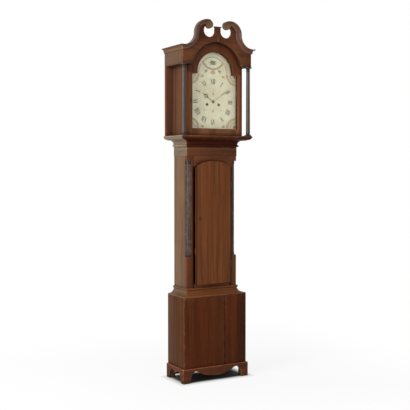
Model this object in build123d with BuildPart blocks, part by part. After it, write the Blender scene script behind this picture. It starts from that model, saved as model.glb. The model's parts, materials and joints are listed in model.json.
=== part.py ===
from build123d import *
import math
import os

os.makedirs("parts", exist_ok=True)

# Longcase clock, millimetres. X is to the right, Y goes back to the wall, Z is up.
# The origin is on the floor, under the middle of the bounding box.

# Storeys of the case, from the floor up
plinth_height = 86.5
base_panel_height = 428.5
waist_height = 50
trunk_height = 852
throat_height = 61
hood_frame_thickness = 9.2
hood_opening_height = 424
frieze_height = 78.5
cornice_height = 30

# Widths, and depths measured forward from the wall
trunk_depth = 169
waist_projection = 44.5
plinth_thickness = 9.5
throat_projection = 73
hood_overhang = 65
frieze_depth = 237.5
cornice_projection = 20

# Boards
back_thickness = 14
base_board = 16
floor_thickness = 12
plinth_overlap = 10.5
trunk_side_thickness = 14
trunk_frame_thickness = 20
hood_wall = 12
hood_wall_reach = 18
frieze_thickness = 24
pediment_thickness = 10
roof_thickness = 10
board_joint_x = 65
board_joint_groove = 3

# Bracket feet and aprons
front_foot_width = 47
side_foot_width = 36
foot_curve_width = 35
front_apex_z = 70
side_apex_z = 66
apron_drop_z = 32
apron_cusp_z = 48
apron_cusp_inset = 47
side_pendant_z = 47
foot_block = 34

# Trunk door and the frame round it
door_opening_half = 124.5
stile_width = 19.5
door_sill_height = 23
door_shoulder_drop = 118
door_arch_rise = 33
corner_square = 29
column_bottom_rise = 188
column_top_drop = 81
frieze_board_drop = 52
frieze_board_proud = 2
door_gap = 2
door_lip = 4
door_lip_thickness = 8
lip_round_share = 0.35
lip_round_steps = 4
door_body_thickness = 15
door_seat_gap = 0.3
hinge_reach = 4
door_ajar = 6.3
hinge_height = 44
hinge_knuckle_radius = 2.6
hinge_pin_radius = 1.3
hinge_leaf = 1.2
inlet_gap = 0.2
hinge_leaf_width = 9
hinge_inset_z = 110

# Hood door, glass, mask and dial
arch_centre_rise = 386.5
arch_radius = 176
hood_door_inset = 50
hood_door_gap = 2.5
hood_arch_gap = 3
strap_clearance = 2.5
hood_door_thickness = 14
hood_door_stile = 30
sight_bottom_rise = 43.5
sight_shoulder_rise = 370.5
sight_arch_centre_rise = 380.5
sight_arch_radius = 123
glass_thickness = 3
glass_lap = 6
mask_thickness = 6
dial_rise = 207.5
dial_lap = 9
dial_arch_radius = 133
dial_thickness = 2
dial_mask_gap = 14
pivot_reach = 19.75
pivot_pin_radius = 2
pivot_pin_length = 6
strap_thickness = 1.6

# Hood columns
column_inset = 13.5
column_shaft_bottom = 13
column_shaft_top = 11.5
column_base_radius = 21
column_base_height = 15
capital_radius = 23
capital_height = 24

# Swan-neck pediment
neck_lower_radius = 80
neck_upper_radius = 78
rosette_radius = 24.5
rosette_thickness = 23
void_radius = 37.5
void_x = 57.5
plinth_half = 20
finial_plinth_rise = 115
finial_cap = 6
finial_cap_overhang = 4.5
keystone_width = 17
keystone_height = 32
keystone_proud = 7

# Movement
seat_board_drop = 95
seat_board_thickness = 20
plate_half = 88
plate_height = 196
plate_thickness = 3
plate_gap = 60
dial_foot_length = 40
barrel_x = 41
barrel_drop = 17
barrel_radius = 22
barrel_length = 34
line_radius = 0.9
pulley_radius = 21
weight_radius = 26
weight_length = 230
weight_floor_gap = 40
escape_rise = 47
pallet_rise = 72
date_drop = 56
pendulum_length = 994
bob_radius = 55
bob_thickness = 28
pendulum_behind_plate = 20
arbor_radius = 2
barrel_arbor = 4
pallet_clearance = 6
pipe_radius = 5
hour_wheel_radius = 30
minute_arbor = 2.4
chop_gap = 1.1
pivot_radius = 1
running_gap = 0.05
slide_gap = 0.3
train_module = 0.8
wheel_thickness = 3
rim_share = 0.6
hub_share = 0.34
spoke_share = 0.17
tooth_root_spread = 1.15
tooth_tip_spread = 0.55
pinion_overhang = 1.5
shoulder_gap = 0.3

# Places worked out from the sizes above
trunk_half = door_opening_half + stile_width + corner_square
base_half = trunk_half + waist_projection
plinth_half_width = base_half + plinth_thickness
throat_half = trunk_half + throat_projection
frieze_half = trunk_half + hood_overhang
hood_wall_half = trunk_half + hood_wall_reach
hood_door_half = frieze_half - hood_door_inset
sight_half = hood_door_half - hood_door_stile
dial_half = sight_half + dial_lap
back_y = (frieze_depth + cornice_projection) / 2
trunk_front = back_y - trunk_depth
base_front = trunk_front - waist_projection
plinth_front_y = base_front - plinth_thickness
throat_front = trunk_front - throat_projection
frieze_front = back_y - frieze_depth
box_z = plinth_height - plinth_overlap
waist_z = plinth_height + base_panel_height
trunk_z = waist_z + waist_height
throat_z = trunk_z + trunk_height
hood_z = throat_z + throat_height + slide_gap
hood_floor_z = hood_z + hood_frame_thickness
frieze_z = hood_floor_z + hood_opening_height
cornice_z = frieze_z + frieze_height
cornice_top_z = cornice_z + cornice_height
base_inner_half = base_half - base_board
trunk_inner_half = trunk_half - trunk_side_thickness
back_inner_y = back_y - back_thickness
stile_half = trunk_half - corner_square
sill_z = trunk_z + door_sill_height
column_bottom_z = trunk_z + column_bottom_rise
column_top_z = throat_z - column_top_drop
door_shoulder_z = throat_z - door_shoulder_drop
frieze_board_z = throat_z - frieze_board_drop
arch_z = hood_floor_z + arch_centre_rise
board_back = frieze_front + frieze_thickness
hood_door_front = board_back + 0.5
hood_door_back = hood_door_front + hood_door_thickness
pivot_x = hood_door_half + 2
pivot_y = hood_door_front - pivot_reach
mask_front = hood_door_back + 0.75
mask_back = mask_front + mask_thickness
dial_front = mask_back + dial_mask_gap
dial_back = dial_front + dial_thickness
dial_z = hood_floor_z + dial_rise
plate_front = dial_back + dial_foot_length
plate_inner = plate_front + plate_thickness
plate_far = plate_inner + plate_gap
plate_rear = plate_far + plate_thickness
seat_top_z = dial_z - seat_board_drop
seat_bottom_z = seat_top_z - seat_board_thickness
barrel_z = dial_z - barrel_drop
barrel_front = plate_inner + 10
barrel_mid = barrel_front + barrel_length / 2
escape_z = dial_z + escape_rise
pallet_z = dial_z + pallet_rise
date_z = dial_z - date_drop
pendulum_y = plate_rear + pendulum_behind_plate
roof_z = cornice_top_z - 12


def facing(x, y, z):
    """A drawing plane seen from the front; extruding goes forward, towards -Y."""
    return Plane(origin=(x, y, z), x_dir=(1, 0, 0), z_dir=(0, -1, 0))


def block(low, high):
    """A box between two corners."""
    with Locations(tuple((a + b) / 2 for a, b in zip(low, high))):
        Box(*(b - a for a, b in zip(low, high)))


def pair_of_blocks(low, high):
    """A box on the right and its mirror image on the left."""
    block(low, high)
    block((-high[0], low[1], low[2]), (-low[0], high[1], high[2]))


def rod(x, z, y_from, y_to, radius, mode=Mode.ADD):
    """A round bar along Y."""
    with BuildSketch(facing(x, y_to, z)) as section:
        Circle(radius)
    extrude(section.sketch, amount=y_to - y_from, mode=mode)


def break_arch(half, bottom, shoulder, radius, centre, mode=Mode.ADD):
    """A rectangle with a round arch on top, the outline of the dial and its door."""
    with Locations((0, (bottom + shoulder) / 2)):
        Rectangle(2 * half, shoulder - bottom, mode=mode)
    with Locations((0, centre)):
        Circle(radius, mode=mode)


def toothed(teeth, module, share, addendum, dedendum, turn):
    """Corner points of a toothed wheel; share is the tooth's part of the pitch."""
    pitch_radius = teeth * module / 2
    half = 180 * share / teeth
    points = []
    for tooth in range(teeth):
        middle = turn + 360 * tooth / teeth
        for angle, radius in (
            (-tooth_root_spread * half, pitch_radius - dedendum * module),
            (-tooth_tip_spread * half, pitch_radius + addendum * module),
            (tooth_tip_spread * half, pitch_radius + addendum * module),
            (tooth_root_spread * half, pitch_radius - dedendum * module),
        ):
            a = math.radians(middle + angle)
            points.append((radius * math.cos(a), radius * math.sin(a)))
    return points


def wheel(teeth, module, turn, spokes=4):
    """A crossed-out wheel in the current sketch."""
    rim = teeth * module / 2 * rim_share
    Polygon(*toothed(teeth, module, share=0.62, addendum=0.7, dedendum=1.1, turn=turn), align=None)
    Circle(rim, mode=Mode.SUBTRACT)
    Circle(rim * hub_share)
    with PolarLocations(0, spokes, start_angle=turn):
        with Locations((rim * 0.55, 0)):
            Rectangle(rim * 0.95, rim * spoke_share)


def pinion(leaves, module, turn):
    """A leaved pinion in the current sketch."""
    Polygon(*toothed(leaves, module, share=0.52, addendum=0.55, dedendum=1.15, turn=turn), align=None)


def heading(start, end):
    """Direction from one arbor to another, in degrees as seen from the front."""
    return math.degrees(math.atan2(end[1] - start[1], end[0] - start[0]))


# Backboard, from just above the floor to the top of the hood
back_top_z = cornice_z - 4
back_skirt_z = 12
back_skirt_half = base_half - foot_block - 1
with BuildPart() as back_board:
    with BuildSketch(facing(0, back_y, 0)):
        with BuildLine():
            Polyline(
                (0, back_skirt_z),
                (back_skirt_half, back_skirt_z),
                (back_skirt_half, box_z),
                (base_inner_half, box_z),
                (base_inner_half, waist_z),
                (trunk_inner_half, waist_z),
                (trunk_inner_half, back_top_z),
                (0, back_top_z),
            )
            mirror(about=Plane.YZ)
        make_face()
    extrude(amount=back_thickness)
back_board.part.label = "back_board"
export_step(back_board.part, "parts/back_board.step")

# Base: front of two boards with an open joint, two sides, a floor
with BuildPart() as base_front_panel:
    block((-base_half, base_front, box_z), (base_half, base_front + base_board, waist_z))
    with BuildSketch(Plane.XY.offset(box_z)):
        with Locations((board_joint_x, base_front)):
            Rectangle(board_joint_groove, 2 * board_joint_groove)
    extrude(amount=waist_z - box_z, mode=Mode.SUBTRACT)
base_front_panel.part.label = "base_front_panel"
export_step(base_front_panel.part, "parts/base_front_panel.step")

with BuildPart() as base_sides:
    pair_of_blocks((base_inner_half, base_front + base_board, box_z), (base_half, back_y, waist_z))
base_sides.part.label = "base_sides"
export_step(base_sides.part, "parts/base_sides.step")

with BuildPart() as base_floor:
    block(
        (-base_inner_half, base_front + base_board, box_z),
        (base_inner_half, back_inner_y, box_z + floor_thickness),
    )
base_floor.part.label = "base_floor"
export_step(base_floor.part, "parts/base_floor.step")

# Plinth with bracket feet
cusp_x = plinth_half_width - front_foot_width - foot_curve_width - apron_cusp_inset
apex_x = plinth_half_width - front_foot_width - foot_curve_width
foot_x = plinth_half_width - front_foot_width
cusp_sagitta = 3
bracket_sagitta = 12
with BuildPart() as plinth_front:
    with BuildSketch(facing(0, base_front, 0)):
        with BuildLine():
            ThreePointArc((-cusp_x, apron_cusp_z), (0, apron_drop_z), (cusp_x, apron_cusp_z))
            for side in (-1, 1):
                SagittaArc((side * cusp_x, apron_cusp_z), (side * apex_x, front_apex_z), side * cusp_sagitta)
                SagittaArc((side * apex_x, front_apex_z), (side * foot_x, 0), side * bracket_sagitta)
                Polyline(
                    (side * foot_x, 0),
                    (side * plinth_half_width, 0),
                    (side * plinth_half_width, plinth_height),
                )
            Line((-plinth_half_width, plinth_height), (plinth_half_width, plinth_height))
        make_face()
    extrude(amount=plinth_thickness)
    plinth_top = plinth_front.faces().sort_by(Axis.Z)[-1].edges()
    fillet(plinth_top.sort_by(Axis.Y)[:-1], radius=plinth_thickness * 0.45)
plinth_front.part.label = "plinth_front"
export_step(plinth_front.part, "parts/plinth_front.step")

side_length = back_y - plinth_front_y
side_middle = (back_y + plinth_front_y) / 2
side_apex = side_length / 2 - side_foot_width - foot_curve_width
side_foot = side_length / 2 - side_foot_width
with BuildPart() as plinth_sides:
    with BuildSketch(Plane(origin=(base_half, side_middle, 0), x_dir=(0, 1, 0), z_dir=(1, 0, 0))):
        with BuildLine():
            for side in (-1, 1):
                SagittaArc((0, side_pendant_z), (side * side_apex, side_apex_z), side * cusp_sagitta)
                SagittaArc((side * side_apex, side_apex_z), (side * side_foot, 0), side * bracket_sagitta)
                Polyline(
                    (side * side_foot, 0),
                    (side * side_length / 2, 0),
                    (side * side_length / 2, plinth_height),
                )
            Line((-side_length / 2, plinth_height), (side_length / 2, plinth_height))
        make_face()
    extrude(amount=plinth_thickness)
    fillet(
        plinth_sides.faces().sort_by(Axis.Z)[-1].edges().sort_by(Axis.X)[-1],
        radius=plinth_thickness * 0.45,
    )
    split(bisect_by=Plane(origin=(0, base_front, 0), z_dir=(0, 1, 0)), keep=Keep.TOP)
    mirror(about=Plane.YZ)
plinth_sides.part.label = "plinth_sides"
export_step(plinth_sides.part, "parts/plinth_sides.step")

with BuildPart() as foot_blocks:
    for y_low in (base_front, back_y - foot_block):
        pair_of_blocks((base_half - foot_block, y_low, 0), (base_half, y_low + foot_block, box_z))
foot_blocks.part.label = "foot_blocks"
export_step(foot_blocks.part, "parts/foot_blocks.step")

# Mouldings that run round three sides of the trunk
waist_fillet = 5
waist_bead_height = 14
waist_bead_proud = 7.5
waist_bead_foot = 3.5
waist_ease = 3
waist_quirk = 6
waist_cove_sagitta = 9
waist_bead_sagitta = 3.2
waist_bead_quirk = 2
with BuildPart() as waist_moulding:
    with BuildLine() as waist_path:
        Polyline(
            (trunk_half, back_y, waist_z),
            (trunk_half, trunk_front, waist_z),
            (-trunk_half, trunk_front, waist_z),
            (-trunk_half, back_y, waist_z),
        )
    bead_z = waist_height - waist_bead_height
    with BuildSketch(facing(trunk_half, back_y, waist_z)):
        with BuildLine():
            Polyline((0, waist_height), (0, 0), (waist_projection, 0))
            SagittaArc((waist_projection, 0), (waist_projection - waist_ease, waist_fillet), -1.2)
            Line((waist_projection - waist_ease, waist_fillet), (waist_projection - waist_quirk, waist_fillet))
            SagittaArc((waist_projection - waist_quirk, waist_fillet), (waist_bead_foot, bead_z), waist_cove_sagitta)
            bead_x = waist_bead_proud - waist_bead_quirk
            Line((waist_bead_foot, bead_z), (bead_x, bead_z))
            SagittaArc((bead_x, bead_z), (bead_x, waist_height), -waist_bead_sagitta)
            Line((bead_x, waist_height), (0, waist_height))
        make_face()
    sweep(path=waist_path.line, transition=Transition.RIGHT)
waist_moulding.part.label = "waist_moulding"
export_step(waist_moulding.part, "parts/waist_moulding.step")

throat_ovolo_depth = 13.5
throat_cove_depth = 44
throat_bead_depth = 56
throat_ease = 2
throat_ovolo_run = 26
throat_fillet_run = 44
throat_fillet = 3
throat_cove_sagitta = 8
throat_bead_inner = 5.5
throat_bead_outer = 7.5
throat_bead_lower = 6.5
throat_bead_sagitta = 4.5
with BuildPart() as throat_moulding:
    throat_top_z = throat_z + throat_height
    with BuildLine() as throat_path:
        Polyline(
            (trunk_half, back_y, throat_top_z),
            (trunk_half, trunk_front, throat_top_z),
            (-trunk_half, trunk_front, throat_top_z),
            (-trunk_half, back_y, throat_top_z),
        )
    with BuildSketch(facing(trunk_half, back_y, throat_top_z)):
        with BuildLine():
            lip_x = throat_projection - throat_ease
            ovolo_x = throat_projection - throat_ovolo_run
            cove_x = throat_projection - throat_fillet_run
            fillet_z = -throat_ovolo_depth - throat_fillet
            Polyline((0, -throat_height), (0, 0), (lip_x, 0), (lip_x, -throat_ease))
            SagittaArc((lip_x, -throat_ease), (ovolo_x, -throat_ovolo_depth), 4)
            Polyline((ovolo_x, -throat_ovolo_depth), (ovolo_x, fillet_z), (cove_x, fillet_z))
            SagittaArc((cove_x, fillet_z), (throat_bead_inner, -throat_cove_depth), -throat_cove_sagitta)
            Line((throat_bead_inner, -throat_cove_depth), (throat_bead_outer, -throat_cove_depth))
            SagittaArc(
                (throat_bead_outer, -throat_cove_depth),
                (throat_bead_lower, -throat_bead_depth),
                throat_bead_sagitta,
            )
            SagittaArc((throat_bead_lower, -throat_bead_depth), (0, -throat_height), -1.5)
        make_face()
    sweep(path=throat_path.line, transition=Transition.RIGHT)
throat_moulding.part.label = "throat_moulding"
export_step(throat_moulding.part, "parts/throat_moulding.step")

# Trunk: sides that rise into the hood, front frame, quarter columns
with BuildPart() as trunk_sides:
    pair_of_blocks(
        (trunk_inner_half, trunk_front + corner_square, waist_z),
        (trunk_half, back_y, seat_bottom_z),
    )
trunk_sides.part.label = "trunk_sides"
export_step(trunk_sides.part, "parts/trunk_sides.step")

frame_back = trunk_front + trunk_frame_thickness
throat_top = throat_z + throat_height
with BuildPart() as trunk_stiles:
    pair_of_blocks((door_opening_half, trunk_front, waist_z), (stile_half, frame_back, frieze_board_z))
    for z_low, z_high in ((waist_z, column_bottom_z), (column_top_z, frieze_board_z)):
        pair_of_blocks((stile_half, trunk_front, z_low), (trunk_half, trunk_front + corner_square, z_high))
trunk_stiles.part.label = "trunk_stiles"
export_step(trunk_stiles.part, "parts/trunk_stiles.step")

door_apex_z = door_shoulder_z + door_arch_rise
with BuildPart() as trunk_rails:
    block((-door_opening_half, trunk_front, waist_z), (door_opening_half, frame_back, sill_z))
    with BuildSketch(facing(0, frame_back, 0)):
        with BuildLine():
            Polyline(
                (door_opening_half, door_shoulder_z),
                (door_opening_half, frieze_board_z),
                (-door_opening_half, frieze_board_z),
                (-door_opening_half, door_shoulder_z),
            )
            ThreePointArc(
                (-door_opening_half, door_shoulder_z),
                (0, door_apex_z),
                (door_opening_half, door_shoulder_z),
            )
        make_face()
    extrude(amount=trunk_frame_thickness)
trunk_rails.part.label = "trunk_rails"
export_step(trunk_rails.part, "parts/trunk_rails.step")

with BuildPart() as trunk_frieze_board:
    with BuildLine() as frieze_path:
        Polyline(
            (trunk_half, back_y, frieze_board_z),
            (trunk_half, trunk_front, frieze_board_z),
            (-trunk_half, trunk_front, frieze_board_z),
            (-trunk_half, back_y, frieze_board_z),
        )
    with BuildSketch(facing(trunk_half, back_y, frieze_board_z)):
        with BuildLine():
            Polyline(
                (0, 0),
                (frieze_board_proud, frieze_board_proud),
                (frieze_board_proud, frieze_board_drop),
                (0, frieze_board_drop),
                close=True,
            )
        make_face()
    sweep(path=frieze_path.line, transition=Transition.RIGHT)
    block((-stile_half, trunk_front, frieze_board_z), (stile_half, frame_back, throat_top))
    pair_of_blocks(
        (stile_half, trunk_front, frieze_board_z),
        (trunk_half, trunk_front + corner_square, throat_top),
    )
trunk_frieze_board.part.label = "trunk_frieze_board"
export_step(trunk_frieze_board.part, "parts/trunk_frieze_board.step")

column_collar = 14
collar_ring_height = 6
collar_ring_step = 1
reed_count = 4
reed_radius = 3.1
flute_share = 0.8
with BuildPart() as quarter_columns:
    shaft_radius = corner_square - 2
    with BuildSketch(Plane.XY.offset(column_bottom_z)):
        with Locations((stile_half, trunk_front + corner_square)):
            Circle(shaft_radius)
            first_reed = -90 + 45 / reed_count
            with PolarLocations(shaft_radius, reed_count, start_angle=first_reed, angular_range=90):
                Circle(reed_radius * flute_share, mode=Mode.SUBTRACT)
    extrude(amount=column_top_z - column_bottom_z)
    for z_low in (column_bottom_z, column_top_z - column_collar):
        with BuildSketch(Plane.XY.offset(z_low)):
            with Locations((stile_half, trunk_front + corner_square)):
                Circle(corner_square)
        extrude(amount=column_collar)
        collar_ring = column_bottom_z + column_collar if z_low == column_bottom_z else z_low - collar_ring_height
        with BuildSketch(Plane.XY.offset(collar_ring)):
            with Locations((stile_half, trunk_front + corner_square)):
                Circle(corner_square - collar_ring_step)
        extrude(amount=collar_ring_height)
    split(bisect_by=Plane(origin=(stile_half, 0, 0), z_dir=(1, 0, 0)), keep=Keep.TOP)
    split(bisect_by=Plane(origin=(0, trunk_front + corner_square, 0), z_dir=(0, -1, 0)), keep=Keep.TOP)
    mirror(about=Plane.YZ)
quarter_columns.part.label = "quarter_columns"
export_step(quarter_columns.part, "parts/quarter_columns.step")

# Trunk door, drawn closed about its hinge line and stored a little ajar
hinge_x = door_opening_half + door_lip + hinge_reach
hinge_y = trunk_front - door_seat_gap - door_lip_thickness / 2
ajar = math.radians(door_ajar)
door_x_dir = (math.cos(ajar), math.sin(ajar), 0)
door_front_dir = (math.sin(ajar), -math.cos(ajar), 0)
lip_back = door_lip_thickness / 2


def on_door(local_y):
    """A drawing plane on the trunk door, local_y behind its hinge line."""
    return Plane(
        origin=(hinge_x - local_y * math.sin(ajar), hinge_y + local_y * math.cos(ajar), 0),
        x_dir=door_x_dir,
        z_dir=door_front_dir,
    )


def door_leaf(grow):
    """The arched outline of the trunk door, larger than its opening by grow."""
    half = door_opening_half + grow
    left, right = -hinge_x - half, -hinge_x + half
    with BuildLine() as outline:
        Polyline(
            (left, door_shoulder_z + grow),
            (left, sill_z - grow),
            (right, sill_z - grow),
            (right, door_shoulder_z + grow),
        )
        ThreePointArc(
            (right, door_shoulder_z + grow), (-hinge_x, door_apex_z + grow), (left, door_shoulder_z + grow)
        )
    make_face(outline.edges())


hinge_heights = (sill_z + hinge_inset_z, door_shoulder_z - hinge_inset_z)
lip_round = door_lip_thickness * lip_round_share
with BuildPart() as trunk_door:
    with BuildSketch(on_door(lip_back)):
        door_leaf(door_lip)
    extrude(amount=door_lip_thickness - lip_round)
    for step in range(lip_round_steps + 1):
        turn = math.radians(90 * step / lip_round_steps)
        with BuildSketch(on_door(lip_back - door_lip_thickness + lip_round * (1 - math.sin(turn)))):
            door_leaf(door_lip - lip_round * (1 - math.cos(turn)))
    loft(ruled=True)
    with BuildSketch(on_door(lip_back + door_body_thickness)):
        door_leaf(-door_gap)
    extrude(amount=door_body_thickness)
    with BuildSketch(on_door(lip_back)):
        for z in hinge_heights:
            with Locations((-hinge_reach - hinge_leaf_width / 2, z)):
                Rectangle(hinge_leaf_width + 2 * inlet_gap, hinge_height + 2 * inlet_gap)
    extrude(amount=hinge_leaf, mode=Mode.SUBTRACT)
trunk_door.part.label = "trunk_door"
export_step(trunk_door.part, "parts/trunk_door.step")

lock_z = sill_z + (door_shoulder_z - sill_z) * 0.56
lock_width = 34
lock_height = 70
lock_thickness = 5
escutcheon_radius = 6
escutcheon_length = 24
escutcheon_keyhole = 11
escutcheon_slit = 3
with BuildPart() as trunk_door_lock:
    lock_middle = -hinge_x - door_opening_half + door_gap + lock_width / 2
    with BuildSketch(on_door(lip_back + door_body_thickness + lock_thickness)):
        with Locations((lock_middle, lock_z)):
            Rectangle(lock_width, lock_height)
    extrude(amount=lock_thickness)
    with BuildSketch(on_door(lip_back - door_lip_thickness)):
        with Locations((lock_middle, lock_z)):
            SlotOverall(escutcheon_length, 2 * escutcheon_radius, rotation=90)
            SlotOverall(escutcheon_keyhole, escutcheon_slit, rotation=90, mode=Mode.SUBTRACT)
    extrude(amount=1)
trunk_door_lock.part.label = "trunk_door_lock"
export_step(trunk_door_lock.part, "parts/trunk_door_lock.step")

knuckle = hinge_height / 3
knuckle_gap = 0.3
knuckle_root = 1.5
with BuildPart() as door_hinge_leaves:
    for z in hinge_heights:
        with BuildSketch(on_door(lip_back)):
            with Locations((-hinge_reach - hinge_leaf_width / 2, z)):
                Rectangle(hinge_leaf_width, hinge_height)
        extrude(amount=hinge_leaf)
        with BuildSketch(on_door(lip_back)):
            with Locations((-hinge_reach / 2 - knuckle_root / 2, z)):
                Rectangle(hinge_reach - knuckle_root, knuckle - 2 * knuckle_gap)
        extrude(amount=lip_back)
        with BuildSketch(Plane.XY.offset(z - knuckle / 2 + knuckle_gap)):
            with Locations((hinge_x, hinge_y)):
                Circle(hinge_knuckle_radius)
                Circle(hinge_pin_radius + running_gap, mode=Mode.SUBTRACT)
        extrude(amount=knuckle - 2 * knuckle_gap)
        with BuildSketch(Plane.XY.offset(z - knuckle / 2)):
            with Locations((hinge_x, hinge_y)):
                Circle(hinge_pin_radius + running_gap)
        extrude(amount=knuckle, mode=Mode.SUBTRACT)
door_hinge_leaves.part.label = "door_hinge_leaves"
export_step(door_hinge_leaves.part, "parts/door_hinge_leaves.step")

with BuildPart() as frame_hinge_leaves:
    for z in hinge_heights:
        block(
            (hinge_x - 1, trunk_front - hinge_leaf, z - hinge_height / 2),
            (hinge_x + hinge_leaf_width, trunk_front, z + hinge_height / 2),
        )
        block(
            (hinge_x - 1, hinge_y, z - hinge_height / 2),
            (hinge_x + 1, trunk_front, z - knuckle / 2),
        )
        block(
            (hinge_x - 1, hinge_y, z + knuckle / 2),
            (hinge_x + 1, trunk_front, z + hinge_height / 2),
        )
        for z_low in (z - hinge_height / 2, z + knuckle / 2):
            with BuildSketch(Plane.XY.offset(z_low)):
                with Locations((hinge_x, hinge_y)):
                    Circle(hinge_knuckle_radius)
            extrude(amount=hinge_height / 2 - knuckle / 2)
        with BuildSketch(Plane.XY.offset(z - hinge_height / 2)):
            with Locations((hinge_x, hinge_y)):
                Circle(hinge_pin_radius)
        extrude(amount=hinge_height)
frame_hinge_leaves.part.label = "frame_hinge_leaves"
export_step(frame_hinge_leaves.part, "parts/frame_hinge_leaves.step")

# Hood: base frame, walls, back posts, frieze and pediment board
hood_frame_front = throat_front
hood_frame_opening = trunk_half + 2
hood_frame_notch = 5
with BuildPart() as hood_base_frame:
    with BuildSketch(Plane.XY.offset(hood_z)):
        with Locations((0, (hood_frame_front + back_y) / 2)):
            Rectangle(2 * throat_half, back_y - hood_frame_front)
        with Locations((0, (trunk_front - hood_frame_notch + back_y) / 2)):
            Rectangle(2 * hood_frame_opening, back_y - trunk_front + hood_frame_notch, mode=Mode.SUBTRACT)
    extrude(amount=hood_frame_thickness)
    frame_top = hood_base_frame.faces().sort_by(Axis.Z)[-1].edges()
    fillet(
        [
            frame_top.filter_by(Axis.X).sort_by(Axis.Y)[0],
            frame_top.filter_by(Axis.Y).sort_by(Axis.X)[0],
            frame_top.filter_by(Axis.Y).sort_by(Axis.X)[-1],
        ],
        radius=hood_frame_thickness * 0.35,
    )
    with BuildSketch(Plane.XY.offset(hood_floor_z)):
        with Locations((pivot_x, pivot_y)):
            Circle(pivot_pin_radius + running_gap)
    extrude(amount=-pivot_pin_length - 0.5, mode=Mode.SUBTRACT)
hood_base_frame.part.label = "hood_base_frame"
export_step(hood_base_frame.part, "parts/hood_base_frame.step")

wall_front = hood_door_back + 0.5
post_thickness = 20
with BuildPart() as hood_sides:
    pair_of_blocks((hood_wall_half - hood_wall, wall_front, hood_floor_z), (hood_wall_half, back_y, roof_z))
    pair_of_blocks((hood_wall_half, back_y - post_thickness, hood_floor_z), (frieze_half, back_y, frieze_z))
hood_sides.part.label = "hood_sides"
export_step(hood_sides.part, "parts/hood_sides.step")

soffit_thickness = 10
with BuildPart() as hood_side_friezes:
    frieze_inner = frieze_half - frieze_thickness
    pair_of_blocks((frieze_inner, board_back, frieze_z), (frieze_half, back_y, cornice_top_z))
    pair_of_blocks(
        (hood_wall_half, board_back, frieze_z),
        (frieze_inner, back_y, frieze_z + soffit_thickness),
    )
hood_side_friezes.part.label = "hood_side_friezes"
export_step(hood_side_friezes.part, "parts/hood_side_friezes.step")

# The pediment's top line: a hollow quarter circle, then a round one that ends in the rosette
neck_z = cornice_top_z + neck_lower_radius
neck_join_x = frieze_half - neck_lower_radius
neck_centre_x = neck_join_x - neck_upper_radius
neck_end_angle = 111
rosette_offset = neck_upper_radius - rosette_radius
rosette_x = neck_centre_x + rosette_offset * math.cos(math.radians(neck_end_angle))
rosette_z = neck_z + rosette_offset * math.sin(math.radians(neck_end_angle))
void_z = neck_z + 14
finial_plinth_z = cornice_top_z + finial_plinth_rise
arch_backing = 12


def on_circle(x, z, radius, degrees):
    """A point on a circle seen from the front."""
    a = math.radians(degrees)
    return (x + radius * math.cos(a), z + radius * math.sin(a))


neck_points = (
    (frieze_half, cornice_top_z),
    on_circle(frieze_half, neck_z, neck_lower_radius, 225),
    (neck_join_x, neck_z),
    on_circle(neck_centre_x, neck_z, neck_upper_radius, neck_end_angle / 2),
    on_circle(neck_centre_x, neck_z, neck_upper_radius, neck_end_angle),
)


with BuildPart() as hood_front_board:
    with BuildSketch(facing(0, board_back, 0)):
        with BuildLine():
            Polyline(
                (0, void_z), (0, frieze_z), (frieze_half, frieze_z), (frieze_half, cornice_top_z)
            )
            ThreePointArc(*neck_points[:3])
            ThreePointArc(*neck_points[2:])
            Polyline(neck_points[4], (rosette_x, rosette_z), (void_x, void_z), (0, void_z))
        make_face()
        mirror(about=Plane.YZ)
        with Locations((void_x, void_z), (-void_x, void_z)):
            Circle(void_radius, mode=Mode.SUBTRACT)
        with Locations((0, (void_z + finial_plinth_z) / 2)):
            Rectangle(2 * plinth_half, finial_plinth_z - void_z)
        with Locations((rosette_x, rosette_z), (-rosette_x, rosette_z)):
            Circle(rosette_radius)
        with Locations((0, arch_z)):
            Circle(arch_radius, mode=Mode.SUBTRACT)
    extrude(amount=frieze_thickness)
    pediment_reach = 2 * neck_upper_radius + neck_lower_radius
    with BuildSketch(facing(0, board_back, 0)):
        with Locations((0, cornice_top_z + pediment_reach / 2)):
            Rectangle(2 * frieze_half, pediment_reach)
        with Locations((0, arch_z)):
            Circle(arch_radius + arch_backing, mode=Mode.SUBTRACT)
    extrude(amount=frieze_thickness - pediment_thickness, mode=Mode.SUBTRACT)
    with BuildSketch(Plane.XY.offset(frieze_z)):
        with Locations((pivot_x, pivot_y)):
            Circle(pivot_pin_radius + running_gap)
    extrude(amount=pivot_pin_length + 0.5, mode=Mode.SUBTRACT)
hood_front_board.part.label = "hood_front_board"
export_step(hood_front_board.part, "parts/hood_front_board.step")

# Cornice moulding: straight along each side, then up the swan necks on the front
cornice_fillet = 6


cornice_cyma_share = 0.35
cornice_cyma_end = 0.68
cornice_bead_start = 0.76
cornice_cyma_sagitta = 3.5


def cornice_profile():
    """Section of the cornice, outward along x and down from its top edge along y."""
    cyma_x = cornice_projection * cornice_cyma_share
    cyma_z = -cornice_height * cornice_cyma_end
    bead_z = -cornice_height * cornice_bead_start
    with BuildLine() as outline:
        Polyline(
            (0, -cornice_height),
            (0, 0),
            (cornice_projection, 0),
            (cornice_projection, -cornice_fillet),
            (cornice_projection - 2, -cornice_fillet),
        )
        SagittaArc((cornice_projection - 2, -cornice_fillet), (cyma_x, cyma_z), -cornice_cyma_sagitta)
        Line((cyma_x, cyma_z), (cyma_x, bead_z))
        SagittaArc((cyma_x, bead_z), (0, -cornice_height), 2)
    make_face(outline.edges())


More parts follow.
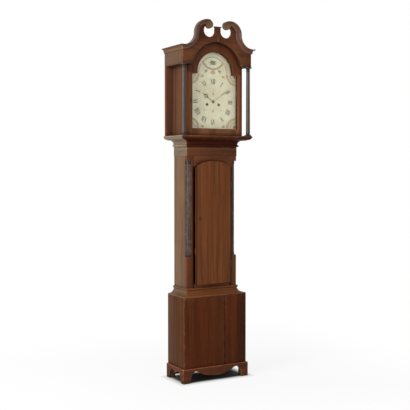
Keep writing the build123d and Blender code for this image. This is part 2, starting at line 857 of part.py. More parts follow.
mitre = Plane(origin=(frieze_half, frieze_front, 0), z_dir=(1, 1, 0))
with BuildPart() as hood_cornice:
    with BuildSketch(facing(frieze_half, back_y, cornice_top_z)):
        cornice_profile()
    extrude(amount=back_y - frieze_front + cornice_projection)
    split(bisect_by=mitre, keep=Keep.TOP)
    mirror(about=Plane.YZ)
hood_cornice.part.label = "hood_cornice"
export_step(hood_cornice.part, "parts/hood_cornice.step")

neck_start = frieze_half + 2 * cornice_projection
with BuildPart() as swan_neck_right:
    with BuildLine() as neck_path:
        path_points = [(x, frieze_front, z) for x, z in neck_points]
        Line((neck_start, frieze_front, cornice_top_z), path_points[0])
        ThreePointArc(*path_points[:3])
        ThreePointArc(*path_points[2:])
    with BuildSketch(
        Plane(origin=(neck_start, frieze_front, cornice_top_z), x_dir=(0, -1, 0), z_dir=(-1, 0, 0))
    ):
        cornice_profile()
    sweep(path=neck_path.line)
    split(bisect_by=mitre, keep=Keep.BOTTOM)
    rod(
        rosette_x,
        rosette_z,
        frieze_front - 2 * rosette_thickness,
        frieze_front + 1,
        rosette_radius + running_gap,
        mode=Mode.SUBTRACT,
    )
swan_neck_right.part.label = "swan_neck_right"
export_step(swan_neck_right.part, "parts/swan_neck_right.step")

with BuildPart() as swan_neck_left:
    mirror(swan_neck_right.part, about=Plane.YZ)
swan_neck_left.part.label = "swan_neck_left"
export_step(swan_neck_left.part, "parts/swan_neck_left.step")

rosette_rim = 5
rosette_dish = 0.4
with BuildPart() as rosettes:
    rosette_lip = cornice_projection * 0.55
    for side in (-1, 1):
        with BuildSketch(Plane((side * rosette_x, frieze_front, rosette_z))):
            with BuildLine():
                Polyline(
                    (0, 0),
                    (rosette_radius, 0),
                    (rosette_radius, 2 - rosette_lip),
                    (rosette_radius - 2, -rosette_lip),
                    (rosette_radius - 4, -rosette_lip),
                    (rosette_radius - rosette_rim, 1 - rosette_lip),
                    (0, rosette_dish - rosette_lip),
                    close=True,
                )
            make_face()
        revolve(axis=Axis((side * rosette_x, 0, rosette_z), (0, 1, 0)))
rosettes.part.label = "rosettes"
export_step(rosettes.part, "parts/rosettes.step")

keystone_foot_share = 0.36
keystone_groove_share = 0.09
keystone_groove_place = 0.15
with BuildPart() as pediment_blocks:
    cap_half = plinth_half + finial_cap_overhang
    block(
        (-cap_half, frieze_front - finial_cap_overhang, finial_plinth_z),
        (cap_half, frieze_front + pediment_thickness, finial_plinth_z + finial_cap),
    )
    chamfer(
        pediment_blocks.faces().sort_by(Axis.Z)[0].edges().sort_by(Axis.Y)[:-1],
        length=finial_cap * 0.5,
    )
    with BuildSketch(facing(0, frieze_front, arch_z + arch_radius)):
        with BuildLine():
            Polyline(
                (-keystone_width * keystone_foot_share, 0),
                (keystone_width * keystone_foot_share, 0),
                (keystone_width / 2, keystone_height),
                (-keystone_width / 2, keystone_height),
                close=True,
            )
        make_face()
    extrude(amount=keystone_proud)
    keystone_z = arch_z + arch_radius + keystone_height / 2
    with BuildSketch(facing(0, frieze_front - keystone_proud * 0.5, keystone_z)):
        groove_x = keystone_width * keystone_groove_place
        with Locations((-groove_x, 0), (groove_x, 0)):
            Rectangle(keystone_width * keystone_groove_share, keystone_height * 1.2)
    extrude(amount=keystone_proud, mode=Mode.SUBTRACT)
pediment_blocks.part.label = "pediment_blocks"
export_step(pediment_blocks.part, "parts/pediment_blocks.step")

# Roof board, notched at the front for the arch, and the bent lining of the arch
lining_thickness = 6
with BuildPart() as hood_roof:
    with BuildSketch(Plane.XY.offset(roof_z)):
        with Locations((0, (board_back + back_y) / 2)):
            Rectangle(2 * frieze_inner, back_y - board_back)
        notch_half = math.sqrt((arch_radius + lining_thickness + 2) ** 2 - (roof_z - arch_z) ** 2)
        with Locations((0, (board_back + mask_back) / 2)):
            Rectangle(2 * notch_half, mask_back - board_back, mode=Mode.SUBTRACT)
    extrude(amount=roof_thickness)
    with BuildSketch(facing(0, mask_back, 0)):
        with Locations((0, arch_z)):
            Circle(arch_radius + lining_thickness)
            Circle(arch_radius, mode=Mode.SUBTRACT)
        with Locations((0, frieze_z - arch_radius)):
            Rectangle(3 * arch_radius, 2 * arch_radius, mode=Mode.SUBTRACT)
    extrude(amount=mask_back - board_back)
hood_roof.part.label = "hood_roof"
export_step(hood_roof.part, "parts/hood_roof.step")

mask_side_gap = 0.2
mask_shoulder_drop = 6
mask_arch_gap = 0.3
mask_set_back = 2
mask_return_wall = 4
mask_return_gap = 2
with BuildPart() as dial_mask:
    with BuildSketch(facing(0, mask_back, 0)):
        break_arch(
            hood_wall_half - hood_wall - mask_side_gap,
            hood_floor_z,
            frieze_z - mask_shoulder_drop,
            arch_radius - mask_arch_gap,
            arch_z,
        )
        break_arch(
            sight_half + mask_set_back,
            hood_floor_z + sight_bottom_rise - mask_set_back,
            hood_floor_z + sight_shoulder_rise + mask_set_back,
            sight_arch_radius + mask_set_back,
            hood_floor_z + sight_arch_centre_rise,
            mode=Mode.SUBTRACT,
        )
    extrude(amount=mask_thickness)
    return_back = dial_front - mask_return_gap
    with BuildSketch(facing(0, return_back, 0)):
        for grow, mode in ((mask_return_wall, Mode.ADD), (0, Mode.SUBTRACT)):
            break_arch(
                sight_half + mask_set_back + grow,
                hood_floor_z + sight_bottom_rise - mask_set_back - grow,
                hood_floor_z + sight_shoulder_rise + mask_set_back + grow,
                sight_arch_radius + mask_set_back + grow,
                hood_floor_z + sight_arch_centre_rise,
                mode=mode,
            )
    extrude(amount=return_back - mask_back)
dial_mask.part.label = "dial_mask"
export_step(dial_mask.part, "parts/dial_mask.step")

# Turned columns at the front corners of the hood
column_x = frieze_half - column_inset
column_y = frieze_front + column_inset
torus_height = 8
torus_sagitta = 2.5
torus_taper = 2
scotia_run = 4
astragal_height = 5
abacus_height = 6
abacus_lip = 2
with BuildPart() as hood_columns:
    for side in (-1, 1):
        with BuildSketch(Plane(origin=(side * column_x, column_y, 0), x_dir=(1, 0, 0), z_dir=(0, -1, 0))):
            shaft_low = hood_floor_z + column_base_height
            shaft_high = frieze_z - capital_height
            with BuildLine():
                torus_z = hood_floor_z + torus_height
                torus_x = column_base_radius - torus_taper
                scotia_x = column_shaft_bottom + scotia_run
                astragal_z = shaft_high + astragal_height
                abacus_z = frieze_z - abacus_height
                Polyline((0, frieze_z), (0, hood_floor_z), (column_base_radius, hood_floor_z))
                SagittaArc((column_base_radius, hood_floor_z), (torus_x, torus_z), -torus_sagitta)
                Line((torus_x, torus_z), (scotia_x, torus_z))
                SagittaArc((scotia_x, torus_z), (column_shaft_bottom, shaft_low), 2)
                Line((column_shaft_bottom, shaft_low), (column_shaft_top, shaft_high))
                SagittaArc((column_shaft_top, shaft_high), (column_shaft_top, astragal_z), -2)
                SagittaArc((column_shaft_top, astragal_z), (capital_radius - abacus_lip, abacus_z), 4)
                Polyline(
                    (capital_radius - abacus_lip, abacus_z),
                    (capital_radius, abacus_z),
                    (capital_radius, frieze_z),
                    (0, frieze_z),
                )
            make_face()
        revolve(axis=Axis((side * column_x, column_y, 0), (0, 0, 1)))
hood_columns.part.label = "hood_columns"
export_step(hood_columns.part, "parts/hood_columns.step")

# Hood door with its glass, straps and keyhole plate
door_bottom_z = hood_floor_z + hood_door_gap
door_top_z = frieze_z - hood_door_gap
sight = (
    hood_floor_z + sight_bottom_rise,
    hood_floor_z + sight_shoulder_rise,
    hood_floor_z + sight_arch_centre_rise,
)
glass_inset = 0.4
glass_gap = 0.3
sight_chamfer_share = 0.3
glass_back = hood_door_back - glass_inset
glass_front = glass_back - glass_thickness
with BuildPart() as hood_door_frame:
    with BuildSketch(facing(0, hood_door_back, 0)):
        break_arch(hood_door_half, door_bottom_z, door_top_z, arch_radius - hood_arch_gap, arch_z)
        break_arch(sight_half, sight[0], sight[1], sight_arch_radius, sight[2], mode=Mode.SUBTRACT)
    extrude(amount=hood_door_thickness)
    with BuildSketch(facing(0, hood_door_back, 0)):
        rebate = glass_lap + glass_gap
        break_arch(
            sight_half + rebate, sight[0] - rebate, sight[1] + rebate, sight_arch_radius + rebate, sight[2]
        )
    extrude(amount=hood_door_back - glass_front, mode=Mode.SUBTRACT)
    sight_edges = hood_door_frame.faces().sort_by(Axis.Y)[0].inner_wires()[0].edges()
    chamfer(sight_edges, length=hood_door_thickness * sight_chamfer_share)
hood_door_frame.part.label = "hood_door_frame"
export_step(hood_door_frame.part, "parts/hood_door_frame.step")

with BuildPart() as hood_door_glass:
    with BuildSketch(facing(0, glass_back, 0)):
        break_arch(
            sight_half + glass_lap,
            sight[0] - glass_lap,
            sight[1] + glass_lap,
            sight_arch_radius + glass_lap,
            sight[2],
        )
    extrude(amount=glass_thickness)
hood_door_glass.part.label = "hood_door_glass"
export_step(hood_door_glass.part, "parts/hood_door_glass.step")

door_arch_radius = arch_radius - hood_arch_gap
strap_start = math.sqrt(door_arch_radius**2 - (door_top_z - arch_z) ** 2) + strap_clearance
keyhole_x = -(hood_door_half + sight_half) / 2
keyhole_plate_length = 20
keyhole_plate_width = 9
keyhole_plate_thickness = 0.8
keyhole_length = 9
keyhole_width = 2.6
strap_end = 8
with BuildPart() as hood_door_fittings:
    for strap_z, pin_from in (
        (door_bottom_z - strap_thickness, hood_floor_z - pivot_pin_length),
        (door_top_z, door_top_z),
    ):
        block(
            (strap_start, hood_door_front, strap_z),
            (pivot_x - 2, hood_door_back - 3, strap_z + strap_thickness),
        )
        block(
            (pivot_x - strap_end, pivot_y - 3, strap_z),
            (pivot_x + 3, hood_door_front + 4, strap_z + strap_thickness),
        )
        with BuildSketch(Plane.XY.offset(pin_from)):
            with Locations((pivot_x, pivot_y)):
                Circle(pivot_pin_radius)
        extrude(amount=pivot_pin_length + hood_door_gap)
    with BuildSketch(facing(keyhole_x, hood_door_front, dial_z)):
        SlotOverall(keyhole_plate_length, keyhole_plate_width, rotation=90)
        SlotOverall(keyhole_length, keyhole_width, rotation=90, mode=Mode.SUBTRACT)
    extrude(amount=keyhole_plate_thickness)
hood_door_fittings.part.label = "hood_door_fittings"
export_step(hood_door_fittings.part, "parts/hood_door_fittings.step")

# Painted dial plate
winding_hole_radius = 6
dial_shoulder_lap = 7
with BuildPart() as dial_plate:
    with BuildSketch(facing(0, dial_back, 0)):
        break_arch(
            dial_half,
            dial_z - dial_half,
            hood_floor_z + sight_shoulder_rise + dial_shoulder_lap,
            dial_arch_radius,
            hood_floor_z + sight_arch_centre_rise,
        )
        with Locations((0, dial_z)):
            Circle(pipe_radius + running_gap, mode=Mode.SUBTRACT)
        with Locations((barrel_x, barrel_z), (-barrel_x, barrel_z)):
            Circle(winding_hole_radius, mode=Mode.SUBTRACT)
        with Locations((0, escape_z)):
            Circle(arbor_radius + 0.5, mode=Mode.SUBTRACT)
        with Locations((0, date_z)):
            Circle(arbor_radius + running_gap, mode=Mode.SUBTRACT)
    extrude(amount=dial_thickness)
dial_plate.part.label = "dial_plate"
export_step(dial_plate.part, "parts/dial_plate.step")

# Arbors of the two trains, as (x, z)
centre_at = (0, dial_z)
escape_at = (0, escape_z)
going_at = (barrel_x, barrel_z)
strike_at = (-barrel_x, barrel_z)
centre_teeth, third_leaves = 60, 8
third_teeth, escape_leaves = 56, 7
great_teeth, centre_leaves = 96, 8
strike_teeth, pin_leaves = 84, 8
great_module = 2 * math.dist(going_at, centre_at) / (great_teeth + centre_leaves)
centre_third = (centre_teeth + third_leaves) * train_module / 2
third_escape = (third_teeth + escape_leaves) * train_module / 2
hammer_inset = 22
hammer_rise = 42
great_wheel_gap = 5
third_rise = (centre_third**2 - third_escape**2 + escape_rise**2) / (2 * escape_rise)
third_at = (math.sqrt(centre_third**2 - third_rise**2), dial_z + third_rise)
pin_distance = (strike_teeth + pin_leaves) * great_module / 2
pin_angle = math.radians(70)
pin_at = (
    strike_at[0] + pin_distance * math.cos(pin_angle),
    strike_at[1] + pin_distance * math.sin(pin_angle),
)
hammer_at = (-plate_half + hammer_inset, dial_z + hammer_rise)
great_y = barrel_front + barrel_length + great_wheel_gap
pivot_holes = [third_at, pin_at, hammer_at]

# Plates, pillars, back cock, seat board
seat_front = plate_front - 10
seat_back = plate_rear + 6
line_hole_radius = 5
with BuildPart() as seat_board:
    block((-trunk_half, seat_front, seat_bottom_z), (trunk_half, seat_back, seat_top_z))
    with BuildSketch(Plane.XY.offset(seat_bottom_z)):
        for x in (barrel_x, -barrel_x):
            for offset in (-barrel_radius - line_radius, 2 * pulley_radius - barrel_radius + line_radius):
                with Locations((x + offset, barrel_mid)):
                    Circle(line_hole_radius)
    extrude(amount=seat_board_thickness, mode=Mode.SUBTRACT)
seat_board.part.label = "seat_board"
export_step(seat_board.part, "parts/seat_board.step")

with BuildPart() as movement_plates:
    for y_high, pallet_hole in ((plate_inner, arbor_radius + running_gap), (plate_rear, pallet_clearance)):
        with BuildSketch(facing(0, y_high, 0)):
            with Locations((0, seat_top_z + plate_height / 2)):
                Rectangle(2 * plate_half, plate_height)
            with Locations(*pivot_holes):
                Circle(pivot_radius + running_gap, mode=Mode.SUBTRACT)
            with Locations(going_at, strike_at):
                Circle(barrel_arbor + running_gap, mode=Mode.SUBTRACT)
            with Locations(centre_at, escape_at):
                Circle(arbor_radius + running_gap, mode=Mode.SUBTRACT)
            with Locations((0, pallet_z)):
                Circle(pallet_hole, mode=Mode.SUBTRACT)
        extrude(amount=plate_thickness)
movement_plates.part.label = "movement_plates"
export_step(movement_plates.part, "parts/movement_plates.step")

pillar_inset = 9
pillar_radius = 5
dial_foot_radius = 3.5
with BuildPart() as movement_pillars:
    pillar_x = plate_half - pillar_inset
    for x in (-pillar_x, pillar_x):
        for z in (seat_top_z + pillar_inset, seat_top_z + plate_height - pillar_inset):
            rod(x, z, plate_inner, plate_far, pillar_radius)
            rod(x, z, dial_back, plate_front, dial_foot_radius)
movement_pillars.part.label = "movement_pillars"
export_step(movement_pillars.part, "parts/movement_pillars.step")

cock_half = 22
cock_rise = 12
cock_thickness = 4
cock_foot = 8
cock_overhang = 6
bridge_half = 7
bridge_gap = 8
bridge_thickness = 3
chop_half = 5
with BuildPart() as back_cock:
    cock_z = pallet_z + cock_rise
    cock_top_z = cock_z + cock_thickness
    block((-cock_half, plate_rear, cock_z), (cock_half, pendulum_y + cock_overhang, cock_top_z))
    for side in (-1, 1):
        foot_edges = sorted((side * cock_half, side * (cock_half - cock_foot)))
        block(
            (foot_edges[0], plate_rear, cock_z - cock_foot),
            (foot_edges[1], plate_rear + cock_thickness, cock_top_z),
        )
    bridge_y = plate_rear + bridge_gap
    block((-bridge_half, bridge_y, pallet_z - bridge_gap), (bridge_half, bridge_y + bridge_thickness, cock_z))
    bore = pivot_radius + running_gap
    rod(0, pallet_z, bridge_y - 1, bridge_y + bridge_thickness + 1, bore, mode=Mode.SUBTRACT)
    for side in (-1, 1):
        chop_edges = sorted((side * chop_gap, side * chop_half))
        block(
            (chop_edges[0], pendulum_y - cock_thickness, pallet_z + 1),
            (chop_edges[1], pendulum_y + cock_thickness, cock_z),
        )
back_cock.part.label = "back_cock"
export_step(back_cock.part, "parts/back_cock.step")

bell_radius = 44
bell_wall = 3
bell_mouth_z = seat_top_z + plate_height + 24
bell_x = -8
bell_y = plate_inner + plate_gap / 2
stand_half = 5
stand_thickness = 3
stand_lap = 10
with BuildPart() as bell:
    with BuildSketch(Plane(origin=(bell_x, bell_y, bell_mouth_z), x_dir=(1, 0, 0), z_dir=(0, -1, 0))):
        inner = bell_radius - bell_wall
        halfway = math.sqrt(0.5)
        with BuildLine():
            Line((bell_radius, 0), (inner, 0))
            ThreePointArc((inner, 0), (inner * halfway, inner * halfway), (0, inner))
            Line((0, inner), (0, bell_radius))
            ThreePointArc((0, bell_radius), (bell_radius * halfway, bell_radius * halfway), (bell_radius, 0))
        make_face()
    revolve(axis=Axis((bell_x, bell_y, 0), (0, 0, 1)))
    stand_top = bell_mouth_z + bell_radius
    stand_back = plate_rear + stand_thickness
    block(
        (bell_x - stand_half, bell_y - stand_half, stand_top),
        (bell_x + stand_half, stand_back, stand_top + stand_thickness),
    )
    block(
        (bell_x - stand_half, plate_rear, seat_top_z + plate_height - stand_lap),
        (bell_x + stand_half, stand_back, stand_top),
    )
bell.part.label = "bell"
export_step(bell.part, "parts/bell.step")

# Going train
with BuildPart() as centre_wheel:
    centre_wheel_y = plate_inner + 6
    with BuildSketch(facing(centre_at[0], centre_wheel_y, centre_at[1])):
        wheel(centre_teeth, train_module, heading(centre_at, third_at) + 180 / centre_teeth)
    extrude(amount=wheel_thickness)
    with BuildSketch(facing(centre_at[0], great_y + pinion_overhang, centre_at[1])):
        pinion(centre_leaves, great_module, heading(centre_at, going_at))
    extrude(amount=wheel_thickness + 2 * pinion_overhang)
    rod(*centre_at, plate_front - 6, plate_rear, arbor_radius)
centre_wheel.part.label = "centre_wheel"
export_step(centre_wheel.part, "parts/centre_wheel.step")

with BuildPart() as going_great_wheel:
    with BuildSketch(facing(going_at[0], great_y, going_at[1])):
        wheel(great_teeth, great_module, heading(going_at, centre_at) + 180 / great_teeth)
        Circle(barrel_arbor + running_gap, mode=Mode.SUBTRACT)
    extrude(amount=wheel_thickness)
going_great_wheel.part.label = "going_great_wheel"
export_step(going_great_wheel.part, "parts/going_great_wheel.step")

with BuildPart() as third_wheel:
    third_wheel_y = plate_inner + 30
    with BuildSketch(facing(third_at[0], third_wheel_y, third_at[1])):
        wheel(third_teeth, train_module, heading(third_at, escape_at) + 180 / third_teeth)
    extrude(amount=wheel_thickness)
    with BuildSketch(facing(third_at[0], centre_wheel_y + pinion_overhang, third_at[1])):
        pinion(third_leaves, train_module, heading(third_at, centre_at))
    extrude(amount=wheel_thickness + 2 * pinion_overhang)
    rod(*third_at, plate_inner + shoulder_gap, plate_far - shoulder_gap, arbor_radius)
    rod(*third_at, plate_front, plate_rear, pivot_radius)
third_wheel.part.label = "third_wheel"
export_step(third_wheel.part, "parts/third_wheel.step")

escape_teeth = 30
escape_radius = 21
escape_root = 17
escape_rim = 10
escape_spoke = 2.2
with BuildPart() as escape_wheel:
    escape_y = plate_inner + 18
    points = []
    for tooth in range(escape_teeth):
        for share, radius in (
            (0, escape_radius),
            (0.12, escape_radius),
            (0.75, escape_root),
            (0.95, escape_root),
        ):
            a = 2 * math.pi * (tooth + share) / escape_teeth
            points.append((radius * math.cos(a), radius * math.sin(a)))
    with BuildSketch(facing(escape_at[0], escape_y, escape_at[1])):
        Polygon(*points, align=None)
        Circle(escape_rim, mode=Mode.SUBTRACT)
        Circle(escape_rim * 0.5)
        with PolarLocations(0, 4):
            with Locations((escape_rim * 0.75, 0)):
                Rectangle(escape_rim * 0.7, escape_spoke)
    extrude(amount=wheel_thickness * 1.1)
    with BuildSketch(facing(escape_at[0], third_wheel_y + pinion_overhang, escape_at[1])):
        pinion(escape_leaves, train_module, heading(escape_at, third_at))
    extrude(amount=wheel_thickness + 2 * pinion_overhang)
    rod(*escape_at, dial_front - 2, plate_rear, arbor_radius)
escape_wheel.part.label = "escape_wheel"
export_step(escape_wheel.part, "parts/escape_wheel.step")

nib_gap = 1.6
nib_angle = 48
anchor_half = 5
crutch_half = 2.5
fork_inner = 2.9
fork_outer = 4.4
fork_height = 4
crutch_thickness = 2
with BuildPart() as pallets:
    nib_radius = escape_radius + nib_gap
    with BuildSketch(facing(0, escape_y + 0.8, pallet_z)):
        drop = pallet_z - escape_z
        nib_x = nib_radius * math.sin(math.radians(nib_angle))
        nib_z = nib_radius * math.cos(math.radians(nib_angle)) - drop
        with BuildLine():
            Polyline(
                (-nib_x, nib_z),
                (-nib_x - 4, nib_z + 1),
                (-anchor_half, anchor_half),
                (anchor_half, anchor_half),
                (nib_x + 4, nib_z + 1),
                (nib_x, nib_z),
                (4, -nib_gap),
                (-4, -nib_gap),
                close=True,
            )
        make_face()
    extrude(amount=wheel_thickness * 1.4)
    rod(0, pallet_z, plate_front, plate_rear + 6, arbor_radius)
    rod(0, pallet_z, plate_rear + 5, plate_rear + 11, pivot_radius)
    crutch_y = plate_rear + 5
    crutch_length = 105
    crutch_front = crutch_y - crutch_thickness
    fork_z = pallet_z - crutch_length
    block((-crutch_half, crutch_front, fork_z), (crutch_half, crutch_y, pallet_z))
    block((-fork_outer, crutch_front, fork_z), (fork_outer, crutch_y, fork_z + fork_height))
    for side in (-1, 1):
        tine = sorted((side * fork_inner, side * fork_outer))
        block((tine[0], crutch_front, fork_z), (tine[1], pendulum_y + 5, fork_z + fork_height))
pallets.part.label = "pallets"
export_step(pallets.part, "parts/pallets.step")

rod_radius = 2.5
spring_half = 0.3
spring_top = 9
spring_length = 22
rod_tail = 22
nut_drop = 12
nut_radius = 8
nut_height = 9
bob_z = pallet_z - pendulum_length
with BuildPart() as pendulum_rod:
    block(
        (-spring_half, pendulum_y - 3, pallet_z - spring_length),
        (spring_half, pendulum_y + 3, pallet_z + spring_top),
    )
    rod_bottom_z = bob_z - bob_radius - rod_tail
    with BuildSketch(Plane.XY.offset(rod_bottom_z)):
        with Locations((0, pendulum_y)):
            Circle(rod_radius)
    extrude(amount=pallet_z - spring_length + 2 - rod_bottom_z)
    with BuildSketch(Plane.XY.offset(bob_z - bob_radius - nut_drop)):
        with Locations((0, pendulum_y)):
            RegularPolygon(nut_radius, 8)
    extrude(amount=nut_height)
pendulum_rod.part.label = "pendulum_rod"
export_step(pendulum_rod.part, "parts/pendulum_rod.step")

bob_sagitta = 5
with BuildPart() as pendulum_bob:
    with BuildSketch(Plane(origin=(0, pendulum_y, bob_z), x_dir=(1, 0, 0), z_dir=(0, 0, 1))):
        with BuildLine():
            Line((0, bob_thickness / 2), (0, -bob_thickness / 2))
            SagittaArc((0, -bob_thickness / 2), (bob_radius, -1), -bob_sagitta)
            Line((bob_radius, -1), (bob_radius, 1))
            SagittaArc((bob_radius, 1), (0, bob_thickness / 2), -bob_sagitta)
        make_face()
    revolve(axis=Axis((0, pendulum_y, bob_z), (0, 1, 0)))
    with BuildSketch(Plane.XY.offset(bob_z - 2 * bob_radius)):
        with Locations((0, pendulum_y)):
            Circle(rod_radius + running_gap)
    extrude(amount=4 * bob_radius, mode=Mode.SUBTRACT)
pendulum_bob.part.label = "pendulum_bob"
export_step(pendulum_bob.part, "parts/pendulum_bob.step")

# Striking train
with BuildPart() as strike_great_wheel:
    with BuildSketch(facing(strike_at[0], great_y, strike_at[1])):
        wheel(strike_teeth, great_module, heading(strike_at, pin_at) + 180 / strike_teeth)
        Circle(barrel_arbor + running_gap, mode=Mode.SUBTRACT)
    extrude(amount=wheel_thickness)
strike_great_wheel.part.label = "strike_great_wheel"
export_step(strike_great_wheel.part, "parts/strike_great_wheel.step")

pin_wheel_radius = 22
pin_wheel_rim = 5
pin_wheel_hub = 5
pin_wheel_spoke = 2.6
pin_count = 8
pin_radius = 0.9
pin_length = 3.2
pin_wheel_y = great_y + 6
with BuildPart() as pin_wheel:
    with BuildSketch(facing(pin_at[0], pin_wheel_y, pin_at[1])):
        Circle(pin_wheel_radius)
        Circle(pin_wheel_radius - pin_wheel_rim, mode=Mode.SUBTRACT)
        Circle(pin_wheel_hub)
        with PolarLocations(0, 4):
            with Locations((pin_wheel_radius * 0.5, 0)):
                Rectangle(pin_wheel_radius * 0.8, pin_wheel_spoke)
    extrude(amount=wheel_thickness)
    with BuildSketch(facing(pin_at[0], pin_wheel_y + 3, pin_at[1])):
        with PolarLocations(pin_wheel_radius - pin_wheel_rim / 2, pin_count):
            Circle(pin_radius)
    extrude(amount=pin_length)
    with BuildSketch(facing(pin_at[0], great_y + pinion_overhang, pin_at[1])):
        pinion(pin_leaves, great_module, heading(pin_at, strike_at))
    extrude(amount=wheel_thickness + 2 * pinion_overhang)
    rod(*pin_at, plate_inner + shoulder_gap, plate_far - shoulder_gap, arbor_radius)
    rod(*pin_at, plate_front, plate_rear, pivot_radius)
pin_wheel.part.label = "pin_wheel"
export_step(pin_wheel.part, "parts/pin_wheel.step")

hammer_stem = 1.5
hammer_head = 5
hammer_tail = 1.2
with BuildPart() as hammer:
    rod(*hammer_at, plate_inner + shoulder_gap, plate_far - shoulder_gap, arbor_radius)
    rod(*hammer_at, plate_front, plate_rear, pivot_radius)
    head_x = bell_x - bell_radius - 3
    block(
        (hammer_at[0] - hammer_stem, bell_y - hammer_stem, hammer_at[1]),
        (hammer_at[0] + hammer_stem, bell_y + hammer_stem, bell_mouth_z + 8),
    )
    block(
        (hammer_at[0] - 4, bell_y - hammer_head, bell_mouth_z + 2),
        (head_x, bell_y + hammer_head, bell_mouth_z + 2 + 2 * hammer_head),
    )
    tail_x = pin_at[0] - pin_wheel_radius - 1
    block(
        (hammer_at[0], pin_wheel_y + 1.2, hammer_at[1] - hammer_tail),
        (tail_x, pin_wheel_y + 2.8, hammer_at[1] + hammer_tail),
    )
hammer.part.label = "hammer"
export_step(hammer.part, "parts/hammer.step")


winding_square = 5.4
flange = 3
flange_thickness = 2


def barrel(at):
    """Drum with flanges on a winding arbor whose square end reaches the dial."""
    rod(*at, barrel_front, barrel_front + barrel_length, barrel_radius)
    rod(*at, barrel_front - flange_thickness, barrel_front, barrel_radius + flange)
    barrel_back = barrel_front + barrel_length
    rod(*at, barrel_back, barrel_back + flange_thickness, barrel_radius + flange)
    rod(*at, plate_front - 4, plate_rear, barrel_arbor)
    with BuildSketch(facing(at[0], plate_front - 4, at[1])) as square:
        Rectangle(winding_square, winding_square)
    extrude(square.sketch, amount=plate_front - 4 - dial_back - 1)


with BuildPart() as going_barrel:
    barrel(going_at)
going_barrel.part.label = "going_barrel"
export_step(going_barrel.part, "parts/going_barrel.step")

with BuildPart() as strike_barrel:
    barrel(strike_at)
strike_barrel.part.label = "strike_barrel"
export_step(strike_barrel.part, "parts/strike_barrel.step")

# Weights on their pulleys, and the lines they hang from; the weights are run down
weight_bottom_z = box_z + floor_thickness + weight_floor_gap
weight_top_z = weight_bottom_z + weight_length
pulley_z = weight_top_z + 34
shank_radius = 2.5
shank_height = 11
stirrup_half = 7
stirrup_width = 8
stirrup_thickness = 2
pulley_pin_radius = 3
pulley_half = 2.5


def line_places(at):
    """The two runs of a line: off the barrel's left side, and up to the seat board."""
    left = at[0] - barrel_radius - line_radius
    return left, left + 2 * (pulley_radius + line_radius)


def hanging_weight(at):
    """An iron weight on a hook and stirrup, with its pulley and the bend of the line."""
    left, right = line_places(at)
    middle = (left + right) / 2
    with BuildSketch(Plane.XY.offset(weight_bottom_z)) as body:
        with Locations((middle, barrel_mid)):
            Circle(weight_radius)
    extrude(body.sketch, amount=weight_length)
    chamfer(faces().filter_by(Plane.XY).edges(), length=3)
    with BuildSketch(Plane.XY.offset(weight_top_z)) as shank:
        with Locations((middle, barrel_mid)):
            Circle(shank_radius)
    extrude(shank.sketch, amount=shank_height)
    stirrup_z = weight_top_z + shank_height - stirrup_thickness
    stirrup_left = middle - stirrup_width / 2
    stirrup_right = middle + stirrup_width / 2
    stirrup_inner = stirrup_half - stirrup_thickness
    block(
        (stirrup_left, barrel_mid - stirrup_half, stirrup_z),
        (stirrup_right, barrel_mid + stirrup_half, stirrup_z + stirrup_thickness),
    )
    for y_low in (barrel_mid - stirrup_half, barrel_mid + stirrup_inner):
        block((stirrup_left, y_low, stirrup_z), (stirrup_right, y_low + stirrup_thickness, pulley_z + 5))
    pin_reach = stirrup_inner + 0.1
    rod(middle, pulley_z, barrel_mid - pin_reach, barrel_mid + pin_reach, pulley_pin_radius)
    rod(middle, pulley_z, barrel_mid - pulley_half, barrel_mid + pulley_half, pulley_radius - 0.5)
    with BuildSketch(Plane(origin=(left, barrel_mid, pulley_z), x_dir=(1, 0, 0), z_dir=(0, 0, 1))) as line:
        Circle(line_radius)
    revolve(line.sketch, axis=Axis((middle, barrel_mid, pulley_z), (0, 1, 0)), revolution_arc=-180)


def line_runs(at):
    """The two straight runs of a line, from the seat board down to the pulley."""
    with BuildSketch(Plane.XY.offset(pulley_z)) as sections:
        for x in line_places(at):
            with Locations((x, barrel_mid)):
                Circle(line_radius)
    extrude(sections.sketch, amount=seat_bottom_z - pulley_z)


with BuildPart() as going_weight:
    hanging_weight(going_at)
going_weight.part.label = "going_weight"
export_step(going_weight.part, "parts/going_weight.step")

with BuildPart() as strike_weight:
    hanging_weight(strike_at)
strike_weight.part.label = "strike_weight"
export_step(strike_weight.part, "parts/strike_weight.step")

with BuildPart() as going_line:
    line_runs(going_at)
going_line.part.label = "going_line"
export_step(going_line.part, "parts/going_line.step")

with BuildPart() as strike_line:
    line_runs(strike_at)
strike_line.part.label = "strike_line"
export_step(strike_line.part, "parts/strike_line.step")

knot_radius = 8
with BuildPart() as line_ends:
    for at in (going_at, strike_at):
        left, right = line_places(at)
        with BuildSketch(Plane.XY.offset(seat_bottom_z)):
            with Locations((left, barrel_mid)):
                Circle(line_radius)
        extrude(amount=barrel_z - seat_bottom_z)
        with BuildSketch(Plane.XY.offset(seat_bottom_z)):
            with Locations((right, barrel_mid)):
                Circle(line_radius)
        extrude(amount=seat_board_thickness)
        with BuildSketch(Plane.XY.offset(seat_top_z)):
            with Locations((right, barrel_mid)):
                Circle(knot_radius)
        extrude(amount=4)
line_ends.part.label = "line_ends"
export_step(line_ends.part, "parts/line_ends.step")

# Hands, set to about nine minutes past ten
minutes = 9
hours = 10
minute_turn = 90 - 6 * minutes
hour_turn = 90 - 30 * (hours + minutes / 60)
hour_hand_y = dial_front - 3
minute_hand_y = dial_front - 5.4
hand_thickness = 1.2
minute_hand_length = 142
hour_hand_length = 96
pad_place = 0.62
small_hand_boss = 4
small_hand_thickness = 0.8
seconds_turn = 80
date_turn = 60
date_wheel_radius = 24


def pointing(y, z, turn):
    """A drawing plane on the dial whose x axis points along a hand."""
    a = math.radians(turn)
    return Plane(origin=(0, y, z), x_dir=(math.cos(a), 0, math.sin(a)), z_dir=(0, -1, 0))


